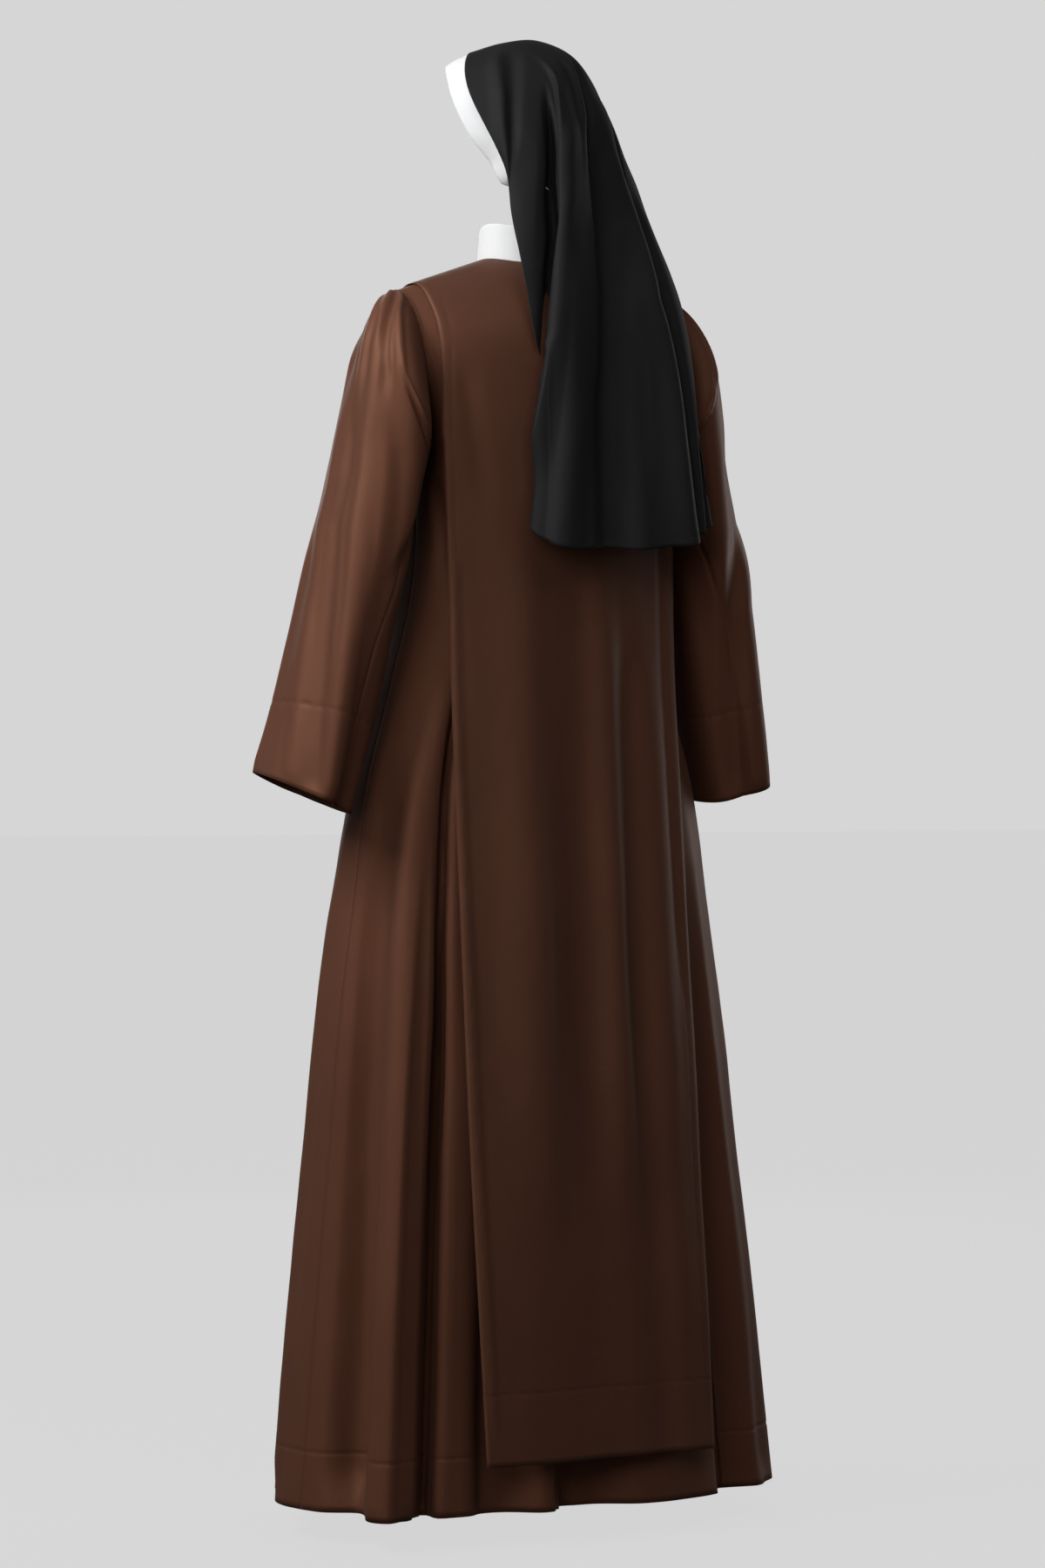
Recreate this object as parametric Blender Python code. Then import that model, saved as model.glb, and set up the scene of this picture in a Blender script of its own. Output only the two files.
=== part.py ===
"""A nun's habit in its worn form: tunic with sleeves, scapular, collar, white band and black veil.

Metres, +Z up. The front faces -Y and the habit's left side is +X. The origin is the middle of the neck
opening, at the height where the shoulder seams begin. The veil and its band are turned to the left.
"""

import math

import bpy
import numpy as np

# Driving sizes of the cloth.
CLOTH = 0.0015
VEIL_CLOTH = 0.0012
SEAM_GAP = 0.0004
LAY_GAP = 0.00045

# The tunic's neck, shoulders and armholes.
NECK_HALF_WIDTH = 0.0575
NECK_BACK = 0.055
NECK_FRONT = 0.067
NECK_POINT_Z = -0.005
SHOULDER_SLOPE = 0.35
UNDERARM_Z = -0.215
RIGHT_SHOULDER_RAISED = 0.012
HEM_Z = -1.426
RING_POWER = 2.4

# Half width of the tunic from shoulder seam down to the underarm, where the sleeves are set in.
ARMHOLE = {
    "share up": (0.0, 0.12, 0.30, 0.55, 0.80, 1.0),
    "half width": (0.150, 0.1515, 0.157, 0.165, 0.171, 0.176),
}

# The tunic's body, a row for each height: half width, and depths from the neck's axis.
BODY = {
    "height": (0.03, -0.06, -0.14, -0.215, -0.3, -0.4, -0.5, -0.6, -0.75, -0.9, -1.1, -1.3, -1.426),
    "half width": (0.215, 0.205, 0.178, 0.150, 0.147, 0.156, 0.180, 0.208, 0.233, 0.249, 0.267, 0.284, 0.296),
    "front": (0.100, 0.112, 0.128, 0.138, 0.140, 0.138, 0.138, 0.142, 0.152, 0.164, 0.180, 0.194, 0.203),
    "back": (0.088, 0.093, 0.098, 0.097, 0.092, 0.088, 0.088, 0.094, 0.106, 0.118, 0.133, 0.147, 0.156),
}
ROUNDING_FRONT = 0.15
ROUNDING_BACK = 0.11

# Folds of the skirt. Angles are in degrees from the centre back, positive to the left side.
# Depth is at the hem, outward positive, and a fold starts at one height and is full at another.
SKIRT_FOLDS = (
    {"angle": 101, "depth": 0.007, "half width": 10, "starts": -0.55, "full": -1.30},
    {"angle": 84, "depth": -0.006, "half width": 6, "starts": -0.60, "full": -1.30},
    {"angle": 69, "depth": -0.030, "half width": 8, "starts": -0.50, "full": -1.25},
    {"angle": 48, "depth": 0.034, "half width": 7.5, "starts": -0.42, "full": -1.25},
    {"angle": 41.5, "depth": -0.042, "half width": 3.6, "starts": -0.42, "full": -1.15},
    {"angle": 21, "depth": -0.020, "half width": 8, "starts": -0.70, "full": -1.30},
    {"angle": 10, "depth": 0.006, "half width": 4, "starts": -0.75, "full": -1.30},
    {"angle": 1, "depth": -0.024, "half width": 5, "starts": -0.70, "full": -1.30},
    {"angle": -16, "depth": 0.010, "half width": 8, "starts": -0.65, "full": -1.30},
    {"angle": -29, "depth": 0.008, "half width": 6, "starts": -0.60, "full": -1.30},
    {"angle": -40, "depth": -0.018, "half width": 4.5, "starts": -0.45, "full": -1.20},
    {"angle": -52, "depth": 0.014, "half width": 7, "starts": -0.50, "full": -1.30},
    {"angle": -66, "depth": 0.014, "half width": 6, "starts": -0.60, "full": -1.40},
    {"angle": -80, "depth": -0.013, "half width": 6, "starts": -0.55, "full": -1.30},
    {"angle": -95, "depth": 0.010, "half width": 8, "starts": -0.55, "full": -1.30},
    {"angle": -114, "depth": -0.016, "half width": 7, "starts": -0.60, "full": -1.30},
    {"angle": -130, "depth": 0.020, "half width": 8, "starts": -0.50, "full": -1.25},
    {"angle": -145, "depth": -0.018, "half width": 6, "starts": -0.55, "full": -1.25},
    {"angle": -160, "depth": 0.008, "half width": 8, "starts": -0.60, "full": -1.30},
    {"angle": 177, "depth": -0.012, "half width": 6, "starts": -0.70, "full": -1.30},
    {"angle": 161, "depth": 0.006, "half width": 7, "starts": -0.60, "full": -1.30},
    {"angle": 147, "depth": -0.022, "half width": 6, "starts": -0.50, "full": -1.25},
    {"angle": 132, "depth": 0.018, "half width": 8, "starts": -0.50, "full": -1.25},
    {"angle": 117, "depth": -0.016, "half width": 6, "starts": -0.55, "full": -1.30},
)

# Columns of a quarter of the tunic, from the centre line to the side seam: angle on the skirt in degrees.
# At the shoulder the first lie round the neck opening, the next under the scapular and the rest beside it.
NECK_COLUMNS = 4
COVERED_COLUMNS = 7
QUARTER_ANGLES = (0, 5, 10, 16, 22, 29, 37, 41.5, 46.5, 53, 60, 68, 75, 82, 90)
YOKE_SHARES = (0.0, 0.25, 0.45, 0.62, 0.76, 0.87, 0.95, 1.0)
SKIRT_ROWS = (-0.27, -0.34, -0.42, -0.50, -0.59, -0.70, -0.83, -0.98, -1.14, -1.29, HEM_Z)

# The scapular hangs from the shoulders. A row for each height: depth behind and in front of the neck's
# axis, and the half width that its round cross-section would close at, so that it is flatter lower down.
SCAPULAR_HALF_WIDTH = 0.153
SCAPULAR_HEM_Z = -1.368
SCAPULAR = {
    "height": (0.0, -0.08, -0.14, -0.20, -0.30, -0.50, -0.75, -1.00, -1.20, -1.368),
    "back": (0.096, 0.1035, 0.1065, 0.1070, 0.1060, 0.1080, 0.1240, 0.1430, 0.1610, 0.1760),
    "front": (0.110, 0.126, 0.142, 0.149, 0.151, 0.153, 0.168, 0.186, 0.203, 0.217),
    "roundness": (0.21, 0.21, 0.21, 0.21, 0.22, 0.25, 0.32, 0.42, 0.55, 0.70),
    "narrowing": (0.0, 0.0, 0.0, 0.001, 0.003, 0.004, 0.003, 0.002, 0.002, 0.003),
}
SCAPULAR_FREE_FROM = -0.055
SCAPULAR_FREE_AT = -0.13
SCAPULAR_ROWS = (-0.28, -0.37, -0.48, -0.61, -0.76, -0.92, -1.08, -1.23, SCAPULAR_HEM_Z)
SCAPULAR_WAVES = (
    {"place": -0.74, "depth": 0.0030, "half width": 0.14},
    {"place": -0.53, "depth": -0.0040, "half width": 0.14},
    {"place": -0.30, "depth": 0.0045, "half width": 0.18},
    {"place": -0.02, "depth": -0.0055, "half width": 0.20},
    {"place": 0.40, "depth": 0.0065, "half width": 0.24},
)

# A sleeve, a row for each ring after the armhole: the ring's centre, how far its outer side and its back
# tip up in degrees, and its half sizes from side to side and from front to back.
SLEEVE = {
    "along": (0.0, 0.10, 0.22, 0.36, 0.54, 0.72, 0.87, 1.0),
    "x": (0.170, 0.184, 0.1925, 0.2025, 0.2185, 0.2400, 0.2605, 0.2800),
    "y": (0.012, 0.023, 0.020, 0.010, 0.001, -0.008, -0.016, -0.022),
    "z": (-0.126, -0.145, -0.1835, -0.250, -0.350, -0.455, -0.545, -0.620),
    "tip": (84, 71, 55, 31, 16, 15, 18, 23),
    "lean": (0, 0, 0, 0, 0, 0, -2, -5),
    "across": (0.082, 0.0825, 0.064, 0.0480, 0.047, 0.048, 0.049, 0.050),
    "deep": (0.058, 0.066, 0.074, 0.082, 0.087, 0.086, 0.083, 0.081),
}
SLEEVE_SET_IN = 0.0007
SLEEVE_BLENDS_OVER = 0.20
SLEEVE_COLUMNS = 22
SLEEVE_RINGS = (0.0, 0.05, 0.10, 0.15, 0.22, 0.31, 0.42, 0.54, 0.66, 0.78, 0.90, 1.0)
# A fold's turn is its place half way down, and it drifts by as many degrees over the sleeve's length.
SLEEVE_FOLDS = (
    {"turn": -6, "drift": 90, "depth": -0.0040, "half width": 15},
    {"turn": 26, "drift": 90, "depth": 0.0055, "half width": 16},
    {"turn": 72, "drift": 40, "depth": -0.0045, "half width": 20},
    {"turn": 132, "drift": -40, "depth": -0.0045, "half width": 18},
    {"turn": 215, "drift": 10, "depth": -0.0040, "half width": 20},
    {"turn": 262, "drift": 10, "depth": 0.0040, "half width": 20},
    {"turn": 306, "drift": 20, "depth": 0.0030, "half width": 18},
)

# The collar stands in the neck opening.
COLLAR_CLEARANCE = 0.0014
COLLAR_DROP = 0.010
COLLAR_HEIGHT = 0.043
COLLAR_LEAN = 0.06
COLLAR_COLUMNS = 12

# The veil, a row for each line that crosses it from its left edge over the back to its right edge: the
# line's ends and its middle. The first line is the veil's front edge, which bows forward on each side.
VEIL = {
    "along": (0.0, 0.08, 0.16, 0.25, 0.34, 0.43, 0.53, 0.64, 0.76, 0.88, 1.0),
    "left x": (0.0576, 0.058, 0.0585, 0.059, 0.059, 0.0576, 0.055, 0.052, 0.048, 0.053, 0.065),
    "left y": (0.0561, 0.059, 0.0625, 0.067, 0.074, 0.083, 0.096, 0.108, 0.113, 0.116, 0.12),
    "left z": (0.0877, 0.076, 0.062, 0.044, 0.022, -0.005, -0.052, -0.108, -0.177, -0.248, -0.318),
    "middle x": (0.0506, 0.02, -0.0105, -0.044, -0.066, -0.08, -0.0925, -0.1, -0.09, -0.064, -0.035),
    "middle y": (-0.0424, -0.0168, 0.0088, 0.0369, 0.0554, 0.0671, 0.078, 0.107, 0.13, 0.148, 0.162),
    "middle z": (0.2415, 0.2515, 0.2525, 0.23, 0.18, 0.12, 0.045, -0.05, -0.15, -0.245, -0.345),
    "right x": (-0.0453, -0.051, -0.0585, -0.067, -0.082, -0.1, -0.118, -0.138, -0.154, -0.162, -0.166),
    "right y": (-0.0664, -0.065, -0.058, -0.043, -0.024, 0.005, 0.042, 0.078, 0.106, 0.126, 0.142),
    "right z": (0.0877, 0.074, 0.058, 0.038, 0.016, -0.003, -0.026, -0.08, -0.155, -0.232, -0.31),
    "bow": (0.011, 0.009, 0.006, 0.002, 0.0, 0.0, 0.0, 0.0, 0.0, 0.0, 0.0),
}
VEIL_COLUMNS = 32
VEIL_ROWS = (0.0, 0.06, 0.12, 0.19, 0.26, 0.33, 0.40, 0.48, 0.56, 0.64, 0.72, 0.80, 0.88, 0.94, 1.0)
# Folds of the veil: the line each one follows, as angles from -90 at the veil's left edge to 90 at its right
# for places along it, and where along the veil it starts and is full.
VEIL_FOLDS = (
    {"along": (0.27, 0.39, 0.53, 0.65, 0.74), "angle": (-48, -58, -68, -80, -108), "depth": -0.009, "half width": 8,
     "starts": 0.14, "full": 0.36},
    {"along": (0.36, 0.49, 0.62, 0.76, 0.90, 1.0), "angle": (-41, -46, -56, -57, -48, -39), "depth": 0.008,
     "half width": 10, "starts": 0.16, "full": 0.50},
    {"along": (0.43, 0.53, 0.65, 0.77, 0.90, 1.0), "angle": (-18, -17, -26, -27, -16, -7), "depth": -0.010,
     "half width": 11, "starts": 0.20, "full": 0.60},
    {"along": (0.41, 0.53, 0.65, 0.78, 0.91, 1.0), "angle": (-7, 0, 0, 15, 32, 44), "depth": 0.008,
     "half width": 8, "starts": 0.24, "full": 0.60},
    {"along": (0.41, 0.53, 0.65, 0.78, 0.91, 1.0), "angle": (3, 10, 10, 26, 43, 55), "depth": -0.010,
     "half width": 7, "starts": 0.24, "full": 0.60},
    {"along": (0.30, 0.60, 1.0), "angle": (48, 52, 76), "depth": -0.006, "half width": 8,
     "starts": 0.16, "full": 0.50},
)

# The white head band. It shows in front of the veil, widest at its middle, goes on under the veil's edge,
# and closes round the back inside the veil.
BAND_CENTRE = (0.0, 0.0, 0.155)
BAND_BACKWARD = (-0.766, 0.643, 0.0)
BAND_SHOWS_AT_MIDDLE = 0.033
BAND_SHOWS_AT_SIDE = 0.022
BAND_UNDER = 0.006
BAND_INSET_AT_MIDDLE = 0.0018
BAND_INSET_AT_SIDE = 0.0095
BAND_CURVE_RADIUS = 0.09
BAND_BACK_REACH = 0.064
BAND_BACK_DROP = 0.040
BAND_COLUMNS = 32

# The finish of each piece: colour, roughness and metallic.
BROWN_CLOTH = {"colour": (0.070, 0.028, 0.017, 1), "roughness": 0.85, "metallic": 0.0}
WHITE_LINEN = {"colour": (0.82, 0.83, 0.85, 1), "roughness": 0.75, "metallic": 0.0}
BLACK_CLOTH = {"colour": (0.010, 0.010, 0.011, 1), "roughness": 0.80, "metallic": 0.0}
FINISHES = {
    "tunic_back": BROWN_CLOTH,
    "tunic_front": BROWN_CLOTH,
    "sleeve_left": BROWN_CLOTH,
    "sleeve_right": BROWN_CLOTH,
    "scapular_back": BROWN_CLOTH,
    "scapular_front": BROWN_CLOTH,
    "collar": WHITE_LINEN,
    "veil_band": WHITE_LINEN,
    "veil": BLACK_CLOTH,
}


def clear_scene():
    for thing in list(bpy.data.objects):
        bpy.data.objects.remove(thing)


def material(piece):
    """The piece's own material, a Principled BSDF with its finish."""
    made = bpy.data.materials.new(piece + " cloth")
    made.use_nodes = True
    shader = made.node_tree.nodes["Principled BSDF"]
    shader.inputs["Base Color"].default_value = FINISHES[piece]["colour"]
    shader.inputs["Roughness"].default_value = FINISHES[piece]["roughness"]
    shader.inputs["Metallic"].default_value = FINISHES[piece]["metallic"]
    return made


def ease(t):
    """A smooth step from 0 to 1."""
    t = min(1.0, max(0.0, t))
    return t * t * (3 - 2 * t)


def along(table, key, column, at):
    """The table's column at one value of its key, on a smooth curve through its rows."""
    keys, values = table[key], table[column]
    if keys[0] > keys[-1]:
        keys, values = keys[::-1], values[::-1]
    if at <= keys[0]:
        return values[0]
    if at >= keys[-1]:
        return values[-1]
    slopes = np.gradient(np.array(values, float), np.array(keys, float))
    i = int(np.searchsorted(keys, at, side="right")) - 1
    span = keys[i + 1] - keys[i]
    t = (at - keys[i]) / span
    return (
        (2 * t**3 - 3 * t**2 + 1) * values[i]
        + (t**3 - 2 * t**2 + t) * span * slopes[i]
        + (3 * t**2 - 2 * t**3) * values[i + 1]
        + (t**3 - t**2) * span * slopes[i + 1]
    )


def swell(distance, half_width):
    """A soft ridge: 1 at its middle, nothing beyond twice its half width."""
    t = abs(distance) / (2 * half_width)
    return math.cos(t * math.pi / 2) ** 2 if t < 1 else 0.0


def turned(angle_difference):
    """An angle difference in degrees, brought to between -180 and 180."""
    return (angle_difference + 180) % 360 - 180


def unit(vectors):
    return vectors / np.linalg.norm(vectors, axis=-1, keepdims=True)


def grid_normals(points, ring):
    """Outward normals of a grid whose rows run down and whose columns run anticlockwise seen from above."""
    if ring:
        across = np.roll(points, -1, axis=1) - np.roll(points, 1, axis=1)
    else:
        across = np.gradient(points, axis=1)
    down = np.gradient(points, axis=0)
    return unit(np.cross(down, across))


def wall(name, outer, thickness, ring=False, normals=None):
    """A closed solid: the outer grid, the same grid moved in by the thickness, and the edges between."""
    outer = np.array(outer, float)
    if normals is None:
        normals = grid_normals(outer, ring)
    inner = outer - normals * thickness
    rows, columns = outer.shape[:2]
    layer = rows * columns
    vertices = np.concatenate([outer.reshape(-1, 3), inner.reshape(-1, 3)])
    faces = []
    for r in range(rows - 1):
        for c in range(columns if ring else columns - 1):
            d = (c + 1) % columns
            here, beside = r * columns + c, r * columns + d
            below, across = here + columns, beside + columns
            # Every wall is split along the same diagonal, so cloth that lies on cloth stays parallel to it.
            for face in ((here, below, across), (here, across, beside)):
                faces.append(face)
                faces.append([layer + i for i in reversed(face)])
    for c in range(columns if ring else columns - 1):
        d = (c + 1) % columns
        last = (rows - 1) * columns
        faces.append([c, d, layer + d, layer + c])
        faces.append([last + d, last + c, layer + last + c, layer + last + d])
    if not ring:
        for r in range(rows - 1):
            left, below = r * columns, (r + 1) * columns
            faces.append([below, left, layer + left, layer + below])
            right, under = left + columns - 1, below + columns - 1
            faces.append([right, under, layer + under, layer + right])
    mesh = bpy.data.meshes.new(name)
    mesh.from_pydata([tuple(v) for v in vertices], [], faces)
    mesh.shade_smooth()
    mesh.materials.append(material(name))
    made = bpy.data.objects.new(name, mesh)
    bpy.context.scene.collection.objects.link(made)
    return made


def raised(points):
    """The points with the right shoulder a little higher than the left."""
    points = np.array(points, float)
    for point in points.reshape(-1, 3):
        point[2] += RIGHT_SHOULDER_RAISED * ease(-point[0] / 0.15) * ease((point[2] + 0.50) / 0.28)
    return points


def shoulder_z(x):
    """Height of the shoulder line, from side to side."""
    return NECK_POINT_Z - SHOULDER_SLOPE * (abs(x) - NECK_HALF_WIDTH)


def shoulder_rounding(drop, rounding):
    """Share of the full depth at a drop below the shoulder line, as it rounds over the shoulder."""
    t = min(1.0, max(0.0, drop) / rounding)
    return math.sqrt(max(0.0, 1 - (1 - t) ** 2))


def body_side(side):
    """What differs between the front and the back: sign of y, depth column, rounding and neck depth."""
    if side == "back":
        return 1, "back", ROUNDING_BACK, NECK_BACK
    return -1, "front", ROUNDING_FRONT, NECK_FRONT


def body_depth(x, z, side):
    """The tunic's depth at a place above the underarm, without the sign."""
    _, column, rounding, _ = body_side(side)
    share = min(1.0, abs(x) / along(BODY, "height", "half width", z))
    across = (1 - share**RING_POWER) ** (1 / RING_POWER)
    return along(BODY, "height", column, z) * across * shoulder_rounding(shoulder_z(x) - z, rounding)


def neckline_z(x, side):
    """Height where the body meets the upright neck opening."""
    depth = body_side(side)[3] * math.sqrt(max(0.0, 1 - (x / NECK_HALF_WIDTH) ** 2))
    high, low = shoulder_z(x), UNDERARM_Z
    for _ in range(40):
        middle = (high + low) / 2
        if body_depth(x, middle, side) < depth:
            high = middle
        else:
            low = middle
    return (high + low) / 2


def yoke_point(x, share, side):
    """A point between the underarm, share 0, and the shoulder seam or neckline, share 1."""
    sign = body_side(side)[0]
    inside_neck = abs(x) < NECK_HALF_WIDTH
    top = neckline_z(x, side) if inside_neck else shoulder_z(x)
    z = UNDERARM_Z + share * (top - UNDERARM_Z)
    if share == 1 and inside_neck:
        depth = body_side(side)[3] * math.sqrt(max(0.0, 1 - (x / NECK_HALF_WIDTH) ** 2))
    else:
        depth = body_depth(x, z, side)
    return (x, sign * depth, z)


def skirt_point(angle, z):
    """A point of the tunic below the underarm, at an angle in degrees from the centre back."""
    a = math.radians(angle)
    side = "back" if abs(turned(angle)) <= 90 else "front"
    power = 2 / RING_POWER
    x = along(BODY, "height", "half width", z) * abs(math.sin(a)) ** power * math.copysign(1, math.sin(a))
    y = along(BODY, "height", side, z) * abs(math.cos(a)) ** power * math.copysign(1, math.cos(a))
    out = sum(
        fold["depth"]
        * swell(turned(angle - fold["angle"]), fold["half width"])
        * ease((fold["starts"] - z) / (fold["starts"] - fold["full"]))
        for fold in SKIRT_FOLDS
    )
    # Folds push square to the ring, which is close to the direction of this shorter ellipse's normal.
    push = unit(np.array([math.sin(a), 1.2 * math.cos(a), 0.0]))
    return np.array([x, y, z]) + push * out


def yoke_x(column, share):
    """x of a column of a quarter at a share of the way up the yoke.

    At the underarm the columns are those of the skirt, and higher up they follow the neck and the scapular.
    """
    edge = along(ARMHOLE, "share up", "half width", share)
    ring = edge * math.sin(math.radians(QUARTER_ANGLES[column])) ** (2 / RING_POWER)
    neck, covered = NECK_COLUMNS - 1, COVERED_COLUMNS - 1
    if column <= neck:
        above = NECK_HALF_WIDTH * math.sin(math.pi / 2 * column / neck)
    elif column <= covered:
        spread = SCAPULAR_HALF_WIDTH - NECK_HALF_WIDTH
        above = NECK_HALF_WIDTH + spread * (column - neck) / (covered - neck)
    else:
        rest = len(QUARTER_ANGLES) - COVERED_COLUMNS
        above = SCAPULAR_HALF_WIDTH + (edge - SCAPULAR_HALF_WIDTH) * (column - covered) / rest
    above = min(above, edge * (0.9 + 0.1 * column / len(QUARTER_ANGLES)))
    return ring + (above - ring) * ease(share / 0.6)


def tunic_panel_form(side):
    """Outer points of the back or front panel with level shoulders, columns anticlockwise from above."""
    last = len(QUARTER_ANGLES) - 1
    places = list(range(last, 0, -1)) + list(range(0, last + 1))
    grid = []
    for share in reversed(YOKE_SHARES):
        row = []
        for i, column in enumerate(places):
            x = yoke_x(column, share)
            row.append(yoke_point(x if i < last else -x, share, side))
        grid.append(row)
    for z in SKIRT_ROWS:
        row = []
        for i, column in enumerate(places):
            angle = QUARTER_ANGLES[column] * (1 if i < last else -1)
            row.append(skirt_point(angle if side == "back" else 180 - angle, z))
        grid.append(row)
    grid = np.array(grid, float)
    return grid if side == "back" else grid[:, ::-1]


def seam_normals(grid, shoulder_columns):
    """Normals of a panel, turned square to its side seams and to its shoulder seams."""
    normals = grid_normals(grid, ring=False)
    below_armhole = len(YOKE_SHARES) - 1
    normals[below_armhole:, 0, 1] = 0
    normals[below_armhole:, -1, 1] = 0
    for c in shoulder_columns:
        normals[0, c] = (math.copysign(SHOULDER_SLOPE, grid[0, c, 0]), 0, 1)
    return unit(normals)


def shoulder_columns_of(grid):
    return [c for c in range(grid.shape[1]) if abs(grid[0, c, 0]) >= NECK_HALF_WIDTH]


def build_tunic_body():
    for side in ("back", "front"):
        grid = raised(tunic_panel_form(side))
        seams = shoulder_columns_of(grid)
        normals = seam_normals(grid, seams)
        away = body_side(side)[0] * SEAM_GAP / 2
        below_armhole = len(YOKE_SHARES) - 1
        grid[below_armhole:, 0, 1] += away
        grid[below_armhole:, -1, 1] += away
        grid[0, seams, 1] += away
        wall("tunic_" + side, grid, CLOTH, normals=normals)


def scapular_depth(x, z, side):
    """Depth of the free-hanging scapular's outer surface, without the sign."""
    half = SCAPULAR_HALF_WIDTH
    roundness = along(SCAPULAR, "height", "roundness", z)
    depth = along(SCAPULAR, "height", side, z) * math.sqrt(1 - (x / roundness) ** 2)
    waves = sum(w["depth"] * swell(x / half - w["place"], w["half width"]) for w in SCAPULAR_WAVES)
    return depth + waves * ease((-0.35 - z) / 0.5)


def scapular_grid(side):
    """Outer points of a scapular panel: on the tunic at the shoulder, and hanging free lower down."""
    sign = body_side(side)[0]
    tunic = tunic_panel_form(side)
    normals = seam_normals(tunic, shoulder_columns_of(tunic))
    spare = len(QUARTER_ANGLES) - COVERED_COLUMNS
    kept = slice(spare, tunic.shape[1] - spare)
    lifted = (tunic + normals * (LAY_GAP + CLOTH))[: len(YOKE_SHARES), kept]
    grid = []
    for r, row in enumerate(lifted):
        share = YOKE_SHARES[::-1][r]
        new = []
        for c, point in enumerate(row):
            x = -SCAPULAR_HALF_WIDTH + 2 * SCAPULAR_HALF_WIDTH * c / (lifted.shape[1] - 1)
            x *= math.copysign(1, lifted[0, -1, 0])
            z = point[2]
            free = ease((SCAPULAR_FREE_FROM - z) / (SCAPULAR_FREE_FROM - SCAPULAR_FREE_AT))
            hanging = np.array([x, sign * scapular_depth(x, z, side), z])
            new.append(point + (hanging - point) * free if share < 1 else point)
        grid.append(new)
    for z in SCAPULAR_ROWS:
        half = SCAPULAR_HALF_WIDTH - along(SCAPULAR, "height", "narrowing", z)
        half *= math.copysign(1, lifted[0, -1, 0])
        columns = [-half + 2 * half * c / (lifted.shape[1] - 1) for c in range(lifted.shape[1])]
        grid.append([(x, sign * scapular_depth(x, z, side), z) for x in columns])
    return raised(grid)


def build_scapular():
    for side in ("back", "front"):
        grid = scapular_grid(side)
        normals = grid_normals(grid, ring=False)
        seams = shoulder_columns_of(grid)
        for c in seams:
            normals[0, c] = (math.copysign(SHOULDER_SLOPE, grid[0, c, 0]), 0, 1)
        grid[0, seams, 1] += body_side(side)[0] * SEAM_GAP / 2
        wall("scapular_" + side, grid, CLOTH, normals=unit(normals))


def armhole_loop():
    """The left armhole's edge, from the shoulder seam down the back, along the underarm, up the front."""
    back = tunic_panel_form("back")[: len(YOKE_SHARES)]
    front = tunic_panel_form("front")[: len(YOKE_SHARES)]
    left_back = back[:, 0] if back[0, 0, 0] > 0 else back[:, -1]
    left_front = front[:, 0] if front[0, 0, 0] > 0 else front[:, -1]
    return np.concatenate([left_back, left_front[-2:0:-1]])


def evenly(loop, count):
    """A closed loop's points taken at even steps along it."""
    closed = np.concatenate([loop, loop[:1]])
    run = np.concatenate([[0], np.cumsum(np.linalg.norm(np.diff(closed, axis=0), axis=1))])
    steps = np.arange(count) * run[-1] / count
    return np.stack([np.interp(steps, run, closed[:, axis]) for axis in range(3)], axis=1)


def sleeve_ring(at, turns):
    """Points of a sleeve's ring. A turn of 0 is its outer side, 90 its back and 180 its inner side."""
    centre = np.array([along(SLEEVE, "along", axis, at) for axis in ("x", "y", "z")])
    tip = math.radians(along(SLEEVE, "along", "tip", at))
    lean = math.radians(along(SLEEVE, "along", "lean", at))
    across = along(SLEEVE, "along", "across", at) * np.array([math.cos(tip), 0, math.sin(tip)])
    deep = along(SLEEVE, "along", "deep", at) * np.array([0, math.cos(lean), math.sin(lean)])
    points = []
    for turn in turns:
        a = math.radians(turn)
        folds = 0.0
        for fold in SLEEVE_FOLDS:
            apart = turned(turn - fold["turn"] - fold["drift"] * (at - 0.5))
            folds += fold["depth"] * swell(apart, fold["half width"])
        growth = 1 + folds * ease((at - 0.15) / 0.6) / 0.065
        points.append(centre + growth * (math.cos(a) * across + math.sin(a) * deep))
    return np.array(points)


def sleeve_grid():
    """Outer points of the left sleeve, from the armhole to the cuff."""
    start = evenly(armhole_loop(), SLEEVE_COLUMNS) + np.array([SLEEVE_SET_IN, 0, 0])
    turns = [360 * i / SLEEVE_COLUMNS for i in range(SLEEVE_COLUMNS)]
    rows = []
    for at in SLEEVE_RINGS:
        ring = sleeve_ring(at, turns)
        rows.append(start + (ring - start) * ease(at / SLEEVE_BLENDS_OVER))
    return np.array(rows)


def build_sleeves():
    left = sleeve_grid()
    # The loop runs clockwise seen along the arm from the body, so its columns are turned round.
    for name, mirrored in (("sleeve_left", 1), ("sleeve_right", -1)):
        grid = left * np.array([mirrored, 1, 1])
        if mirrored == 1:
            grid = grid[:, ::-1]
        else:
            grid[:, :, 2] += RIGHT_SHOULDER_RAISED
        normals = grid_normals(grid, ring=True)
        normals[0, :, 0] = 0
        wall(name, grid, CLOTH, ring=True, normals=unit(normals))


def build_collar():
    """A plain standing band inside the neck opening."""
    rows = []
    for height in (COLLAR_HEIGHT, COLLAR_HEIGHT / 2, 0.0, -COLLAR_DROP):
        row = []
        for i in range(COLLAR_COLUMNS):
            a = 2 * math.pi * i / COLLAR_COLUMNS
            side = "back" if math.cos(a) >= 0 else "front"
            shrink = 1 - COLLAR_LEAN * max(0.0, height) / COLLAR_HEIGHT
            x = -(NECK_HALF_WIDTH - COLLAR_CLEARANCE) * math.sin(a)
            y = (body_side(side)[3] - COLLAR_CLEARANCE) * math.cos(a)
            row.append((x * shrink, y * shrink, neckline_z(x, side) + height))
        rows.append(row)
    wall("collar", raised(rows), CLOTH, ring=True)


def veil_place(name, at):
    """The veil's left end, middle or right end at a distance along it from its front edge."""
    return np.array([along(VEIL, "along", name + " " + axis, at) for axis in "xyz"])


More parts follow.
